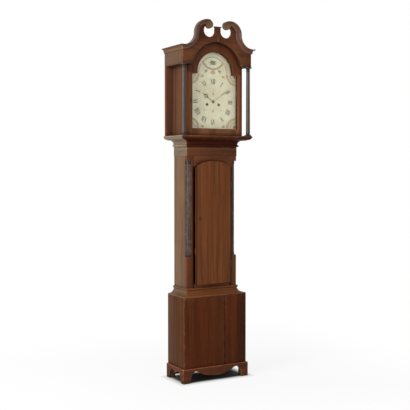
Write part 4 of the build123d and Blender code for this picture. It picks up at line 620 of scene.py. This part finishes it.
# %% Hood finishes
finishes.update({
    "hood_base_frame": wood(
        "hood_frame_wood", **FRONT, run=trunk_corner, side=BRIGHT_FADED_LIT_SIDE, shift=15.2, wear=1.0,
        tints=frame_highlight,
    ),
    "hood_sides": wood("hood_side_wood", **HOOD_WALL, shift=16.9, wear=0.5, tints=post_light_tints),
    "hood_side_friezes": wood("hood_side_frieze_wood", **SHADED_SIDE, run="Y", shift=17.3, wear=0.6),
    "hood_front_board": wood("pediment_wood", **FRONT, run="X", shift=18.1, wear=1.0, worn_and_highlight=PEDIMENT_WEAR_AND_HIGHLIGHT),
    "hood_cornice": wood("cornice_wood", **FADED_LIT_SIDE, run="Y", shift=19.4, wear=0.8),
    "swan_neck_left": wood("left_neck_wood", **NECK, shift=20.6),
    "swan_neck_right": wood("right_neck_wood", **NECK, shift=21.7),
    "rosettes": wood("rosette_wood", **ROSETTE, run="X", shift=22.2, wear=0.8),
    "pediment_blocks": wood("pediment_block_wood", **FRIEZE, shift=23.5, wear=1.0, worn_and_highlight=BLOCK_WEAR_AND_HIGHLIGHT),
    "hood_roof": wood("hood_roof_wood", **BARE, run="X", shift=24.8),
    "dial_mask": wood("dial_mask_wood", **FRONT, shift=25.9, wear=0.2),
    "hood_columns": wood(
        "hood_column_wood", **COLUMN, shift=26.4, wear=0.8, worn_and_highlight=WORN_COLUMN, coat=0.5, shine=0.06,
        tints=turned_ends(column_low, column_high, 0.020, 0.026),
    ),
    "hood_door_frame": wood("hood_door_wood", **HOOD_DOOR, shift=27.3, wear=0.6, tints=hood_door_tints),
})
print(len(finishes), "wood finishes")

# %% [markdown]
# ## Metals, glass and line
# The movement is old lacquered brass with brown stains, the hands and barrels a darker one, the arbors and
# pendulum rod steel, the weights cast iron. The hinges, locks and keyhole plates are rusty iron. The hood
# door's glass lets shadow rays pass, so the dial behind it is lit.

# %% Metal, glass and line finishes
STAIN_LOW, STAIN_HIGH = 0.52, 0.92


def metal(name, clean, stain, rough, spots):
    """A metal with stains; spots is how much of it is stained."""
    material, tree, shader = node_tree(name)
    point = object_point(tree)
    cloud = noise(tree, point, (60, 60, 60), 5.0, 0.65)
    grit = noise(tree, point, (900, 900, 900), 2.0, 0.5)
    mask = stepped(tree, cloud, STAIN_LOW - spots * 0.2, STAIN_HIGH - spots * 0.2)
    dull = plus(tree, times(tree, mask, 0.3), times(tree, grit, 0.1))
    put(shader, {"Base Color": mixed(tree, mask, clean, stain), "Roughness": plus(tree, dull, rough)})
    put(shader, {"Metallic": 1.0})
    bumped(tree, shader, grit, 0.12, 0.0002)
    return material


brass = metal("old_brass", (0.56, 0.40, 0.17), (0.24, 0.15, 0.06), 0.22, 0.6)
dark_brass = metal("dark_brass", (0.20, 0.15, 0.075), (0.06, 0.04, 0.022), 0.34, 0.8)
steel = metal("arbor_steel", (0.42, 0.42, 0.43), (0.12, 0.09, 0.07), 0.26, 0.5)
iron = metal("weight_iron", (0.06, 0.057, 0.054), (0.10, 0.05, 0.03), 0.5, 0.8)
rust_iron = metal("hinge_iron", (0.050, 0.036, 0.028), (0.085, 0.040, 0.022), 0.45, 0.9)

glass, tree, shader = node_tree("door_glass")
put(shader, {"Base Color": (0.97, 0.985, 0.97), "Transmission Weight": 1.0, "IOR": 1.2, "Roughness": 0.0})
clear = tree.nodes.new("ShaderNodeBsdfTransparent")
rays = tree.nodes.new("ShaderNodeLightPath").outputs
passing = math_node(tree, "MAXIMUM", rays["Is Shadow Ray"], rays["Is Diffuse Ray"])
mix_surface(tree, passing, shader, clear)

gut, tree, shader = node_tree("gut_line")
twist = noise(tree, object_point(tree), (500, 500, 260), 2.0, 0.5)
put(shader, {"Base Color": mixed(tree, twist, (0.22, 0.15, 0.08), (0.48, 0.37, 0.22)), "Roughness": 0.5})

metal_of_slot = {"brass": brass, "steel": steel, "iron": iron, "gut_line": gut, "glass": glass}
for name in nodes:
    if slot_of_node[name] in metal_of_slot:
        finishes[name] = metal_of_slot[slot_of_node[name]]
for name in ("minute_hand", "hour_hand", "seconds_hand", "date_hand", "going_barrel", "strike_barrel"):
    finishes[name] = dark_brass
for name in ("door_hinge_leaves", "frame_hinge_leaves", "trunk_door_lock", "hood_door_fittings"):
    finishes[name] = rust_iron
print(len(finishes), "finishes")

# %% [markdown]
# ## Painted iron dial
# The dial is sheet iron under cream paint, which has yellowed and crazed. Fine cracks come from a Voronoi
# texture's edges, and the yellowing from slow noise. The ornament's paints fade in patches.

# %% Dial paint
FRESH_CREAM, YELLOW_CREAM, CRACK = (0.79, 0.745, 0.525), (0.69, 0.62, 0.395), (0.30, 0.23, 0.13)
CRACKS_PER_METRE = 120
cream, tree, shader = node_tree("dial_cream")
point = object_point(tree)
stain = noise(tree, point, (9, 9, 9), 4.0, 0.6)
crack = tree.nodes.new("ShaderNodeTexVoronoi")
crack.feature = "DISTANCE_TO_EDGE"
put(crack, {"Vector": point, "Scale": CRACKS_PER_METRE})
line = stepped(tree, crack.outputs["Distance"], 0.035, 0.0)
line = times(tree, line, stepped(tree, noise(tree, point, (24, 24, 24)), 0.45, 0.7, 0.0, 0.35))
colour = mixed(tree, stepped(tree, stain, 0.35, 0.75), FRESH_CREAM, YELLOW_CREAM)
rough = plus(tree, times(tree, stain, 0.2), 0.4)
put(shader, {"Base Color": mixed(tree, line, colour, CRACK), "Roughness": rough})
finishes["dial_plate"] = cream


def paint_finish(name, main, faded):
    """A brushed-on colour that has faded in places."""
    material, tree, shader = node_tree(name)
    patch = stepped(tree, noise(tree, object_point(tree), (130, 130, 130), 4.0, 0.65), 0.36, 0.66)
    rough = plus(tree, times(tree, patch, 0.25), 0.4)
    put(shader, {"Base Color": mixed(tree, patch, main, faded), "Roughness": rough})
    return material


black_paint = paint_finish("numeral_black", (0.018, 0.017, 0.014), (0.055, 0.050, 0.040))
gilt_paint = paint_finish("ornament_gilt", (0.25, 0.165, 0.06), (0.40, 0.29, 0.13))
rose_paint = paint_finish("ornament_rose", (0.42, 0.285, 0.12), (0.53, 0.39, 0.20))
green_paint = paint_finish("ornament_green", (0.12, 0.115, 0.055), (0.27, 0.245, 0.13))
print("dial paints made")

# %% [markdown]
# ## Softened edges
# A CAD board has knife edges, which no old clock has. A copy of each node has its doubled corners merged
# and its flat faces joined, then a narrow Bevel modifier rounds what is left, so every edge catches a
# thin light. The copy stands for its node and rides on the same body.

# %% Dress the CAD nodes
MERGE = 1e-5
FLAT_ANGLE, EDGE_ANGLE, SMOOTH_ANGLE = math.radians(0.4), math.radians(35), math.radians(32)
EDGE_WIDTHS = {
    "base_front_panel": 1.6, "base_sides": 1.2, "plinth_front": 0.9, "plinth_sides": 0.9,
    "waist_moulding": 0.6, "throat_moulding": 0.6, "trunk_sides": 1.0, "trunk_stiles": 1.0,
    "trunk_rails": 0.8, "trunk_frieze_board": 0.8, "trunk_door": 0.8, "hood_base_frame": 0.9,
    "hood_sides": 0.9, "hood_side_friezes": 1.0, "hood_front_board": 0.9, "hood_cornice": 0.5,
    "swan_neck_left": 0.5, "swan_neck_right": 0.5, "rosettes": 0.4, "pediment_blocks": 0.7,
    "hood_door_frame": 1.0, "dial_mask": 0.6, "back_board": 0.8, "foot_blocks": 1.0,
    "hood_roof": 0.6, "seat_board": 0.8, "base_floor": 0.8,
}


def finish_piece(piece, body, material):
    """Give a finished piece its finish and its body."""
    piece.data.materials.clear()
    piece.data.materials.append(material)
    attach(piece, body)


def pick_out(piece):
    """Make a piece the only one selected, and active."""
    deselect()
    bpy.context.view_layer.objects.active = piece
    piece.select_set(True)


def copy_of(mesh, name):
    """A new object with a copy of a mesh, ready for operators."""
    copy = bpy.data.objects.new(name, mesh.copy())
    scene.collection.objects.link(copy)
    pick_out(copy)
    return copy


def merged_copy(node, name):
    """A copy of a CAD node with its doubled corners merged, open in edit mode with all of it selected."""
    copy = copy_of(nodes[node].data, name)
    bpy.ops.mesh.customdata_custom_splitnormals_clear()
    bpy.ops.object.mode_set(mode="EDIT")
    bpy.ops.mesh.select_all(action="SELECT")
    bpy.ops.mesh.remove_doubles(threshold=MERGE)
    return copy


def softened(name, width):
    """A copy of a CAD node with rounded edges, in the node's place."""
    copy = merged_copy(name, "soft_" + name)
    bpy.ops.mesh.dissolve_limited(angle_limit=FLAT_ANGLE)
    bpy.ops.object.mode_set(mode="OBJECT")
    bevel = copy.modifiers.new("edge", "BEVEL")
    bevel.width = width
    bevel.segments = 2
    bevel.limit_method = "ANGLE"
    bevel.angle_limit = EDGE_ANGLE
    bpy.ops.object.modifier_apply(modifier=bevel.name)
    bpy.ops.object.shade_smooth_by_angle(angle=SMOOTH_ANGLE)
    finish_piece(copy, body_of_node[name], finishes[name])
    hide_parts(name)
    return copy


dressed = {name: softened(name, width * MM) for name, width in EDGE_WIDTHS.items()}
for name, node in nodes.items():
    if name not in dressed:
        node.data.materials.clear()
        node.data.materials.append(finishes[name])
print(len(dressed), "softened pieces,", sum(len(p.data.polygons) for p in dressed.values()), "faces")

# %% [markdown]
# ## Plank joints
# The backboard is glued up from planks, and the joints have opened a little. Two cuts a hair apart mark
# each joint, and the strip between them is pushed into the board.

# %% Plank joints
FACING = 0.9
JOINT, JOINT_DEPTH, JOINT_END = 1.4 * MM, 2.0 * MM, 4 * MM
board = dressed["back_board"]
board_low, board_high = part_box("back_board")
joint_low, joint_high = board_low[2] + JOINT_END, board_high[2] - JOINT_END


def select_faces(piece, wanted):
    """Select the faces of a piece for which wanted(face) is true, in edit mode."""
    bpy.ops.mesh.select_mode(type="FACE")
    bpy.ops.mesh.select_all(action="DESELECT")
    bpy.ops.object.mode_set(mode="OBJECT")
    for face in piece.data.polygons:
        face.select = wanted(face)
    bpy.ops.object.mode_set(mode="EDIT")


def cut_all(place, direction):
    """Cut the open piece in two with a plane, and keep both sides joined."""
    bpy.ops.mesh.select_all(action="SELECT")
    bpy.ops.mesh.bisect(plane_co=place, plane_no=direction)


def in_joint(face):
    """True for a face at the back of the board, between the two cuts of a joint."""
    at_back = face.normal.y > FACING and face.center.y > board_high[1] - 0.1 * MM
    between = abs(abs(face.center.x) - PLANK / 2) < JOINT / 2
    return at_back and between and joint_low < face.center.z < joint_high


pick_out(board)
bpy.ops.object.mode_set(mode="EDIT")
for side in (-1, 1):
    for edge in (-JOINT / 2, JOINT / 2):
        cut_all((side * PLANK / 2 + edge, 0, 0), (1, 0, 0))
for z in (joint_low, joint_high):
    cut_all((0, 0, z), (0, 0, 1))
select_faces(board, in_joint)
bpy.ops.mesh.extrude_region_move(TRANSFORM_OT_translate={"value": (0, -JOINT_DEPTH, 0)})
bpy.ops.object.mode_set(mode="OBJECT")
bpy.ops.object.shade_smooth_by_angle(angle=SMOOTH_ANGLE)
print("plank joints", len(board.data.polygons), "faces")

# %% [markdown]
# ## Hinge screws
# Two screws hold each leaf of the trunk door's hinges to the frame. A screw head is a low cylinder with a
# rounded rim; the slot is a strip of its face, marked by two cuts and pushed in. The others are copies.

# %% Hinge screws
SCREW, SLOT = 2.0 * MM, 0.7 * MM
HEAD_HEIGHT, HEAD_RIM, HEAD_SUNK, SLOT_DEPTH = 0.8 * MM, 0.3 * MM, 0.3 * MM, 0.35 * MM
LEAF_THICKNESS, LEAF_LENGTH, SCREW_INSET, SCREW_STEPS = 1.2 * MM, 44 * MM, 4.2 * MM, (7, 37)
SMALL_SMOOTH = math.radians(40)
UPRIGHT = (math.pi / 2, 0, 0)
leaf_low, leaf_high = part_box("frame_hinge_leaves")
leaf_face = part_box("trunk_stiles")[0][1] - LEAF_THICKNESS
screw_x = leaf_high[0] - SCREW_INSET
screw_heights = [z + step * MM for z in (leaf_low[2], leaf_high[2] - LEAF_LENGTH) for step in SCREW_STEPS]
head = (screw_x, leaf_face - HEAD_SUNK, screw_heights[0])


def new_piece(name):
    """An empty mesh object at the origin, open in edit mode."""
    deselect()
    bpy.ops.object.add(type="MESH", location=(0, 0, 0))
    piece = bpy.context.object
    piece.name = name
    bpy.ops.object.mode_set(mode="EDIT")
    return piece


first_screw = new_piece("hinge_screw_1")
bpy.ops.mesh.primitive_cylinder_add(
    vertices=24, radius=SCREW, depth=HEAD_HEIGHT, location=head, rotation=UPRIGHT
)
select_faces(first_screw, lambda face: face.normal.y < -FACING)
bpy.ops.mesh.bevel(offset=HEAD_RIM, segments=2, affect="EDGES")
for edge in (-SLOT / 2, SLOT / 2):
    cut_all((0, 0, head[2] + edge), (0, 0, 1))
select_faces(
    first_screw, lambda face: face.normal.y < -FACING and abs(face.center.z - head[2]) < SLOT / 4
)
bpy.ops.mesh.extrude_region_move(TRANSFORM_OT_translate={"value": (0, SLOT_DEPTH, 0)})
bpy.ops.object.mode_set(mode="OBJECT")
bpy.ops.object.shade_smooth_by_angle(angle=SMALL_SMOOTH)
finish_piece(first_screw, "case", rust_iron)
for number, z in enumerate(screw_heights[1:], 2):
    screw = copy_of(first_screw.data, "hinge_screw_%d" % number)
    bpy.ops.object.mode_set(mode="EDIT")
    bpy.ops.mesh.select_all(action="SELECT")
    bpy.ops.transform.translate(value=(0, 0, z - head[2]))
    bpy.ops.object.mode_set(mode="OBJECT")
    finish_piece(screw, "case", rust_iron)
print(len(screw_heights), "hinge screws,", len(first_screw.data.polygons), "faces each")

# %% [markdown]
# ## Numerals
# Painted dials carry tall Roman numerals that stand on a circle with their feet to the middle. Each letter
# is one or two strokes, a thick one and a thin one, closed by fine serifs. The strokes are cubes added in
# edit mode, and an inset of their front faces gives the paint its soft, raised edge.

# %% Numeral strokes
DIAL_Z = 1.695
DIAL_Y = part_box("dial_plate")[0][1]
PAINT = 0.3 * MM
NUMERAL_RADIUS, NUMERAL_HEIGHT = 123 * MM, 30 * MM
THICK, THIN, SERIF = 4.3 * MM, 1.5 * MM, 1.0 * MM
I_SERIF, X_SERIF, V_SERIFS = 7.4 * MM, 6.4 * MM, (7.5 * MM, 5.5 * MM)
I_ROOM, WIDE_ROOM = 8.2 * MM, 17 * MM
V_SPREAD, X_SPREAD = 6 * MM, 12 * MM
NUMERALS = ["I", "II", "III", "IIII", "V", "VI", "VII", "VIII", "IX", "X", "XI", "XII"]


def stroke(x, z, width, length, turn):
    """A flat bar of paint on the dial; turn is clockwise from upright, in radians."""
    bpy.ops.mesh.primitive_cube_add(
        size=1, location=(x, DIAL_Y - PAINT / 2, z), rotation=(0, turn, 0), scale=(width, PAINT, length)
    )


def letter_strokes(letter):
    """Strokes of one letter as (along, up, width, length, lean), and the room it takes."""
    top = NUMERAL_HEIGHT / 2
    if letter == "I":
        ends = [(0, top, I_SERIF, SERIF, 0), (0, -top, I_SERIF, SERIF, 0)]
        return [(0, 0, THICK, NUMERAL_HEIGHT, 0)] + ends, I_ROOM
    spread = V_SPREAD if letter == "V" else X_SPREAD
    lean = math.atan2(spread, NUMERAL_HEIGHT)
    length = math.hypot(spread, NUMERAL_HEIGHT)
    if letter == "V":
        bars = [(-spread / 2, 0, THICK, length, -lean), (spread / 2, 0, THIN, length, lean)]
        ends = [(-spread, top, V_SERIFS[0], SERIF, 0), (spread, top, V_SERIFS[1], SERIF, 0)]
    else:
        bars = [(0, 0, THICK, length, -lean), (0, 0, THIN, length, lean)]
        ends = [(side * spread / 2, end, X_SERIF, SERIF, 0) for side in (-1, 1) for end in (-top, top)]
    return bars + ends, WIDE_ROOM


def numeral(word, hour):
    """One numeral, centred on its hour with its feet to the middle of the dial."""
    letters = [letter_strokes(letter) for letter in word]
    start = -sum(room for _, room in letters) / 2
    turn = math.radians(30 * hour)
    for strokes, room in letters:
        for along, up, width, length, lean in strokes:
            u, r = start + room / 2 + along, NUMERAL_RADIUS + up
            stroke(
                u * math.cos(turn) + r * math.sin(turn),
                DIAL_Z + r * math.cos(turn) - u * math.sin(turn),
                width, length, turn + lean,
            )
        start += room


def raise_paint(piece, edge, lift=0.3):
    """Inset the front faces of the open piece for a soft edge, raised by a share of the paint's depth."""
    bpy.ops.mesh.select_all(action="SELECT")
    bpy.ops.mesh.normals_make_consistent(inside=False)
    select_faces(piece, lambda face: face.normal.y < -FACING)
    bpy.ops.mesh.inset(thickness=edge, depth=PAINT * lift, use_individual=True)
    bpy.ops.object.mode_set(mode="OBJECT")


numerals = new_piece("dial_numerals")
for hour, word in enumerate(NUMERALS, 1):
    numeral(word, hour)
raise_paint(numerals, 0.15 * MM)
finish_piece(numerals, "case", black_paint)
print("numerals", len(numerals.data.polygons), "faces")

# %% [markdown]
# ## Minute dots
# A dot of paint marks each minute, and a larger one each hour. One dot is a small disc, pushed out from
# the dial and inset on its face. Two more dots cover the pins that hold the dial to its feet.

# %% Minute dots
DOT_RADIUS = 146 * MM
HOUR_DOT, MINUTE_DOT = 1.5 * MM, 0.9 * MM
PIN_X, PIN_Z, PIN_RADIUS = 58 * MM, 1.642, 3.4 * MM
PAINT_EDGE = 0.1 * MM


def disc(x, z, radius, corners, depth=PAINT):
    """A disc of paint on the dial, with its back on the plate."""
    place = (x, DIAL_Y - depth / 2, z)
    bpy.ops.mesh.primitive_cylinder_add(
        vertices=corners, radius=radius, depth=depth, location=place, rotation=UPRIGHT
    )
    return place


dots = new_piece("dial_minute_dots")
for minute in range(60):
    turn = math.radians(6 * minute)
    size = HOUR_DOT if minute % 5 == 0 else MINUTE_DOT
    disc(DOT_RADIUS * math.sin(turn), DIAL_Z + DOT_RADIUS * math.cos(turn), size, corners=12)
for side in (-1, 1):
    disc(side * PIN_X, PIN_Z, PIN_RADIUS, corners=12)
raise_paint(dots, PAINT_EDGE)
finish_piece(dots, "case", black_paint)
print("minute dots", len(dots.data.polygons), "faces")

# %% [markdown]
# ## Bands and petals
# The ornament is made of two shapes. A curved band is a thin upright strip that Spin turns about the
# band's middle. A petal is a disc drawn out along its own direction. Petals that cross lie in layers, each
# a little higher than the one before, so that no two faces share one plane.

# %% Bands and petals
BAND_STEPS = 28
LAYER = 0.15


def band(x, z, radius, width, start, end):
    """A curved band of paint about (x, z), from one angle to another, counter-clockwise in degrees."""
    first = math.radians(start)
    place = (x + radius * math.cos(first), DIAL_Y - PAINT / 2, z + radius * math.sin(first))
    bpy.ops.mesh.primitive_plane_add(size=1, location=place)
    bpy.ops.transform.resize(value=(width, PAINT, 1), center_override=place)
    bpy.ops.transform.rotate(value=first, orient_axis="Y", center_override=place)
    bpy.ops.mesh.spin(
        steps=BAND_STEPS, angle=math.radians(end - start), center=(x, DIAL_Y, z), axis=(0, 1, 0)
    )


def petal(x, z, length, width, direction, layer=0):
    """An oval of paint that starts at (x, z) and runs along a direction in degrees, above lower layers."""
    a = math.radians(direction)
    middle = disc(
        x + length / 2 * math.cos(a), z + length / 2 * math.sin(a), 0.5, 14, PAINT * (1 + LAYER * layer)
    )
    bpy.ops.transform.resize(value=(length, 1, width), center_override=middle)
    bpy.ops.transform.rotate(value=a, orient_axis="Y", center_override=middle)


CORNERS = [(0.160, 1.535, 90), (-0.160, 1.535, 0), (0.160, 1.860, 180), (-0.160, 1.860, 270)]
SWAG = dict(x=0, z=1.9758, start=270 - 56, end=270 + 56)
HOOP = dict(x=0, z=1.8774, start=90 - 51, end=90 + 51)
RIBBON_Z, RIBBON_ARC, RIBBON_STARTS = 1.868, 46, (-14, 148)
SPRIG_Z, BUD_X = 1.931, 69 * MM
print("places for", len(CORNERS), "corner fans, a swag, a hoop and", len(RIBBON_STARTS), "ribbons")

# %% [markdown]
# ## Gilt ornament
# Gilt lines edge the quarter fans in the corners, the swag in the arch and the ribbons beside it. Five
# short petals spread from each corner.

# %% Gilt ornament
gilt = new_piece("dial_gilt_ornament")
for x, z, start in CORNERS:
    for radius, width in ((66, 1.4), (50, 1.6), (30, 1.6)):
        band(x, z, radius * MM, width * MM, start, start + 90)
    for step in range(5):
        petal(x, z, 24 * MM, 4.5 * MM, start + 9 + 18 * step, step)
for radius, width in ((89, 1.4), (77, 1.4)):
    band(radius=radius * MM, width=width * MM, **SWAG)
for start in RIBBON_STARTS:
    band(0, RIBBON_Z, 103 * MM, 1.6 * MM, start, start + RIBBON_ARC)
raise_paint(gilt, PAINT_EDGE)
finish_piece(gilt, "case", gilt_paint)
print("gilt ornament", len(gilt.data.polygons), "faces")

# %% [markdown]
# ## Rose ornament
# Broad rose bands fill the fans, the swag and the ribbons. A small shell opens under the arch, buds end the
# swag, and sprays lie above and below the ring of minutes. This paint stands a little higher than the gilt.

# %% Rose ornament
SHELL_Z = 1.888
SPRAY_X, SPRAYS = 62 * MM, [(1.853, 24), (1.540, -24)]
rose = new_piece("dial_rose_ornament")
for x, z, start in CORNERS:
    band(x, z, 58 * MM, 9 * MM, start, start + 90)
    band(x, z, 38 * MM, 6 * MM, start, start + 90)
band(radius=83 * MM, width=9 * MM, **SWAG)
for start in RIBBON_STARTS:
    band(0, RIBBON_Z, 97 * MM, 4 * MM, start, start + RIBBON_ARC)
for side in (-1, 1):
    for step in range(3):
        petal(side * BUD_X, SPRIG_Z, 9 * MM, 5 * MM, 60 * step + (90 if side < 0 else -30), step)
for step in range(7):
    petal(0, SHELL_Z, 28 * MM, 6.5 * MM, 228 + 14 * step, step)
for z, droop in SPRAYS:
    for side in (-1, 1):
        for bend, length in ((0, 25), (1, 33), (2, 19)):
            petal(side * SPRAY_X, z, length * MM, 6 * MM, 90 - side * (90 + droop * bend), bend)
raise_paint(rose, PAINT_EDGE, lift=0.5)
finish_piece(rose, "case", rose_paint)
print("rose ornament", len(rose.data.polygons), "faces")

# %% [markdown]
# ## Green ornament
# A green hoop closes the swag from below, round a sprig of twelve leaves that are longest to the sides.
# Smaller leaves stand under it, and a row of them in each fan. The green lies on top of the other paints.

# %% Green ornament
LEAF_X, LEAF_Z, FAN_LEAVES = 42 * MM, 1.877, 44 * MM
green = new_piece("dial_green_ornament")
band(radius=88.6 * MM, width=3.2 * MM, **HOOP)
for layer in range(12):
    direction = 30 * layer
    length = 14 + 14 * math.cos(math.radians(direction)) ** 2
    petal(0, SPRIG_Z, length * MM, 6 * MM, direction, layer)
for side in (-1, 1):
    for layer, (lean, length) in enumerate(((20, 24), (62, 17), (-25, 17), (110, 12))):
        petal(side * LEAF_X, LEAF_Z, length * MM, 5 * MM, 90 - side * (90 - lean), layer)
for x, z, start in CORNERS:
    for direction in range(start + 18, start + 90, 18):
        a = math.radians(direction)
        leaf_x, leaf_z = x + FAN_LEAVES * math.cos(a), z + FAN_LEAVES * math.sin(a)
        petal(leaf_x, leaf_z, 6 * MM, 2.6 * MM, direction)
raise_paint(green, PAINT_EDGE, lift=0.7)
finish_piece(green, "case", green_paint)
print("green ornament", len(green.data.polygons), "faces")

# %% [markdown]
# ## Winding-hole collets
# A thin blackened ring lines each winding hole, so that the key doesn't chip the paint. Its section is a
# small strip, of which only the outline is spun all the way round, so that no wall is left inside the
# ring. The second ring is a copy.

# %% Collets
HOLE_X, HOLE_Z = 41 * MM, 1.678
COLLET_RADIUS, COLLET_WIDTH, COLLET_DEPTH, COLLET_EDGE = 6.6 * MM, 4.6 * MM, 0.8 * MM, 0.2 * MM
collets = new_piece("winding_collets")
place = (COLLET_RADIUS - HOLE_X, DIAL_Y - COLLET_DEPTH / 2, HOLE_Z)
bpy.ops.mesh.primitive_plane_add(size=1, location=place)
bpy.ops.transform.resize(value=(COLLET_WIDTH, COLLET_DEPTH, 1), center_override=place)
bpy.ops.mesh.bevel(offset=COLLET_EDGE, segments=2, affect="VERTICES")
bpy.ops.mesh.select_all(action="SELECT")
bpy.ops.mesh.delete(type="ONLY_FACE")
bpy.ops.mesh.select_mode(type="EDGE")
bpy.ops.mesh.select_all(action="SELECT")
bpy.ops.mesh.spin(steps=40, angle=2 * math.pi, center=(-HOLE_X, DIAL_Y, HOLE_Z), axis=(0, 1, 0))
bpy.ops.mesh.select_all(action="SELECT")
bpy.ops.mesh.remove_doubles(threshold=1e-6)
bpy.ops.mesh.normals_make_consistent(inside=False)
bpy.ops.mesh.duplicate_move(TRANSFORM_OT_translate={"value": (2 * HOLE_X, 0, 0)})
bpy.ops.object.mode_set(mode="OBJECT")
bpy.ops.object.shade_smooth_by_angle(angle=SMALL_SMOOTH)
finish_piece(collets, "case", iron)
print("collets", len(collets.data.polygons), "faces")

# %% [markdown]
# ## Weight lines
# Each gut line hangs from the seat board, goes round its weight's pulley and up again to the board. When
# the weight is wound up the hanging runs get shorter, which a rigid piece can't do. A smooth copy of the
# runs takes their place and rides on the line's body.

# %% Weight lines
LINE_SMOOTH = math.radians(60)
for side in ("going", "strike"):
    node = side + "_line"
    hanging = merged_copy(node, side + "_line_runs")
    bpy.ops.object.mode_set(mode="OBJECT")
    bpy.ops.object.shade_smooth_by_angle(angle=LINE_SMOOTH)
    finish_piece(hanging, body_of_node[node], gut)
    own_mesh(hanging)
    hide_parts(node)
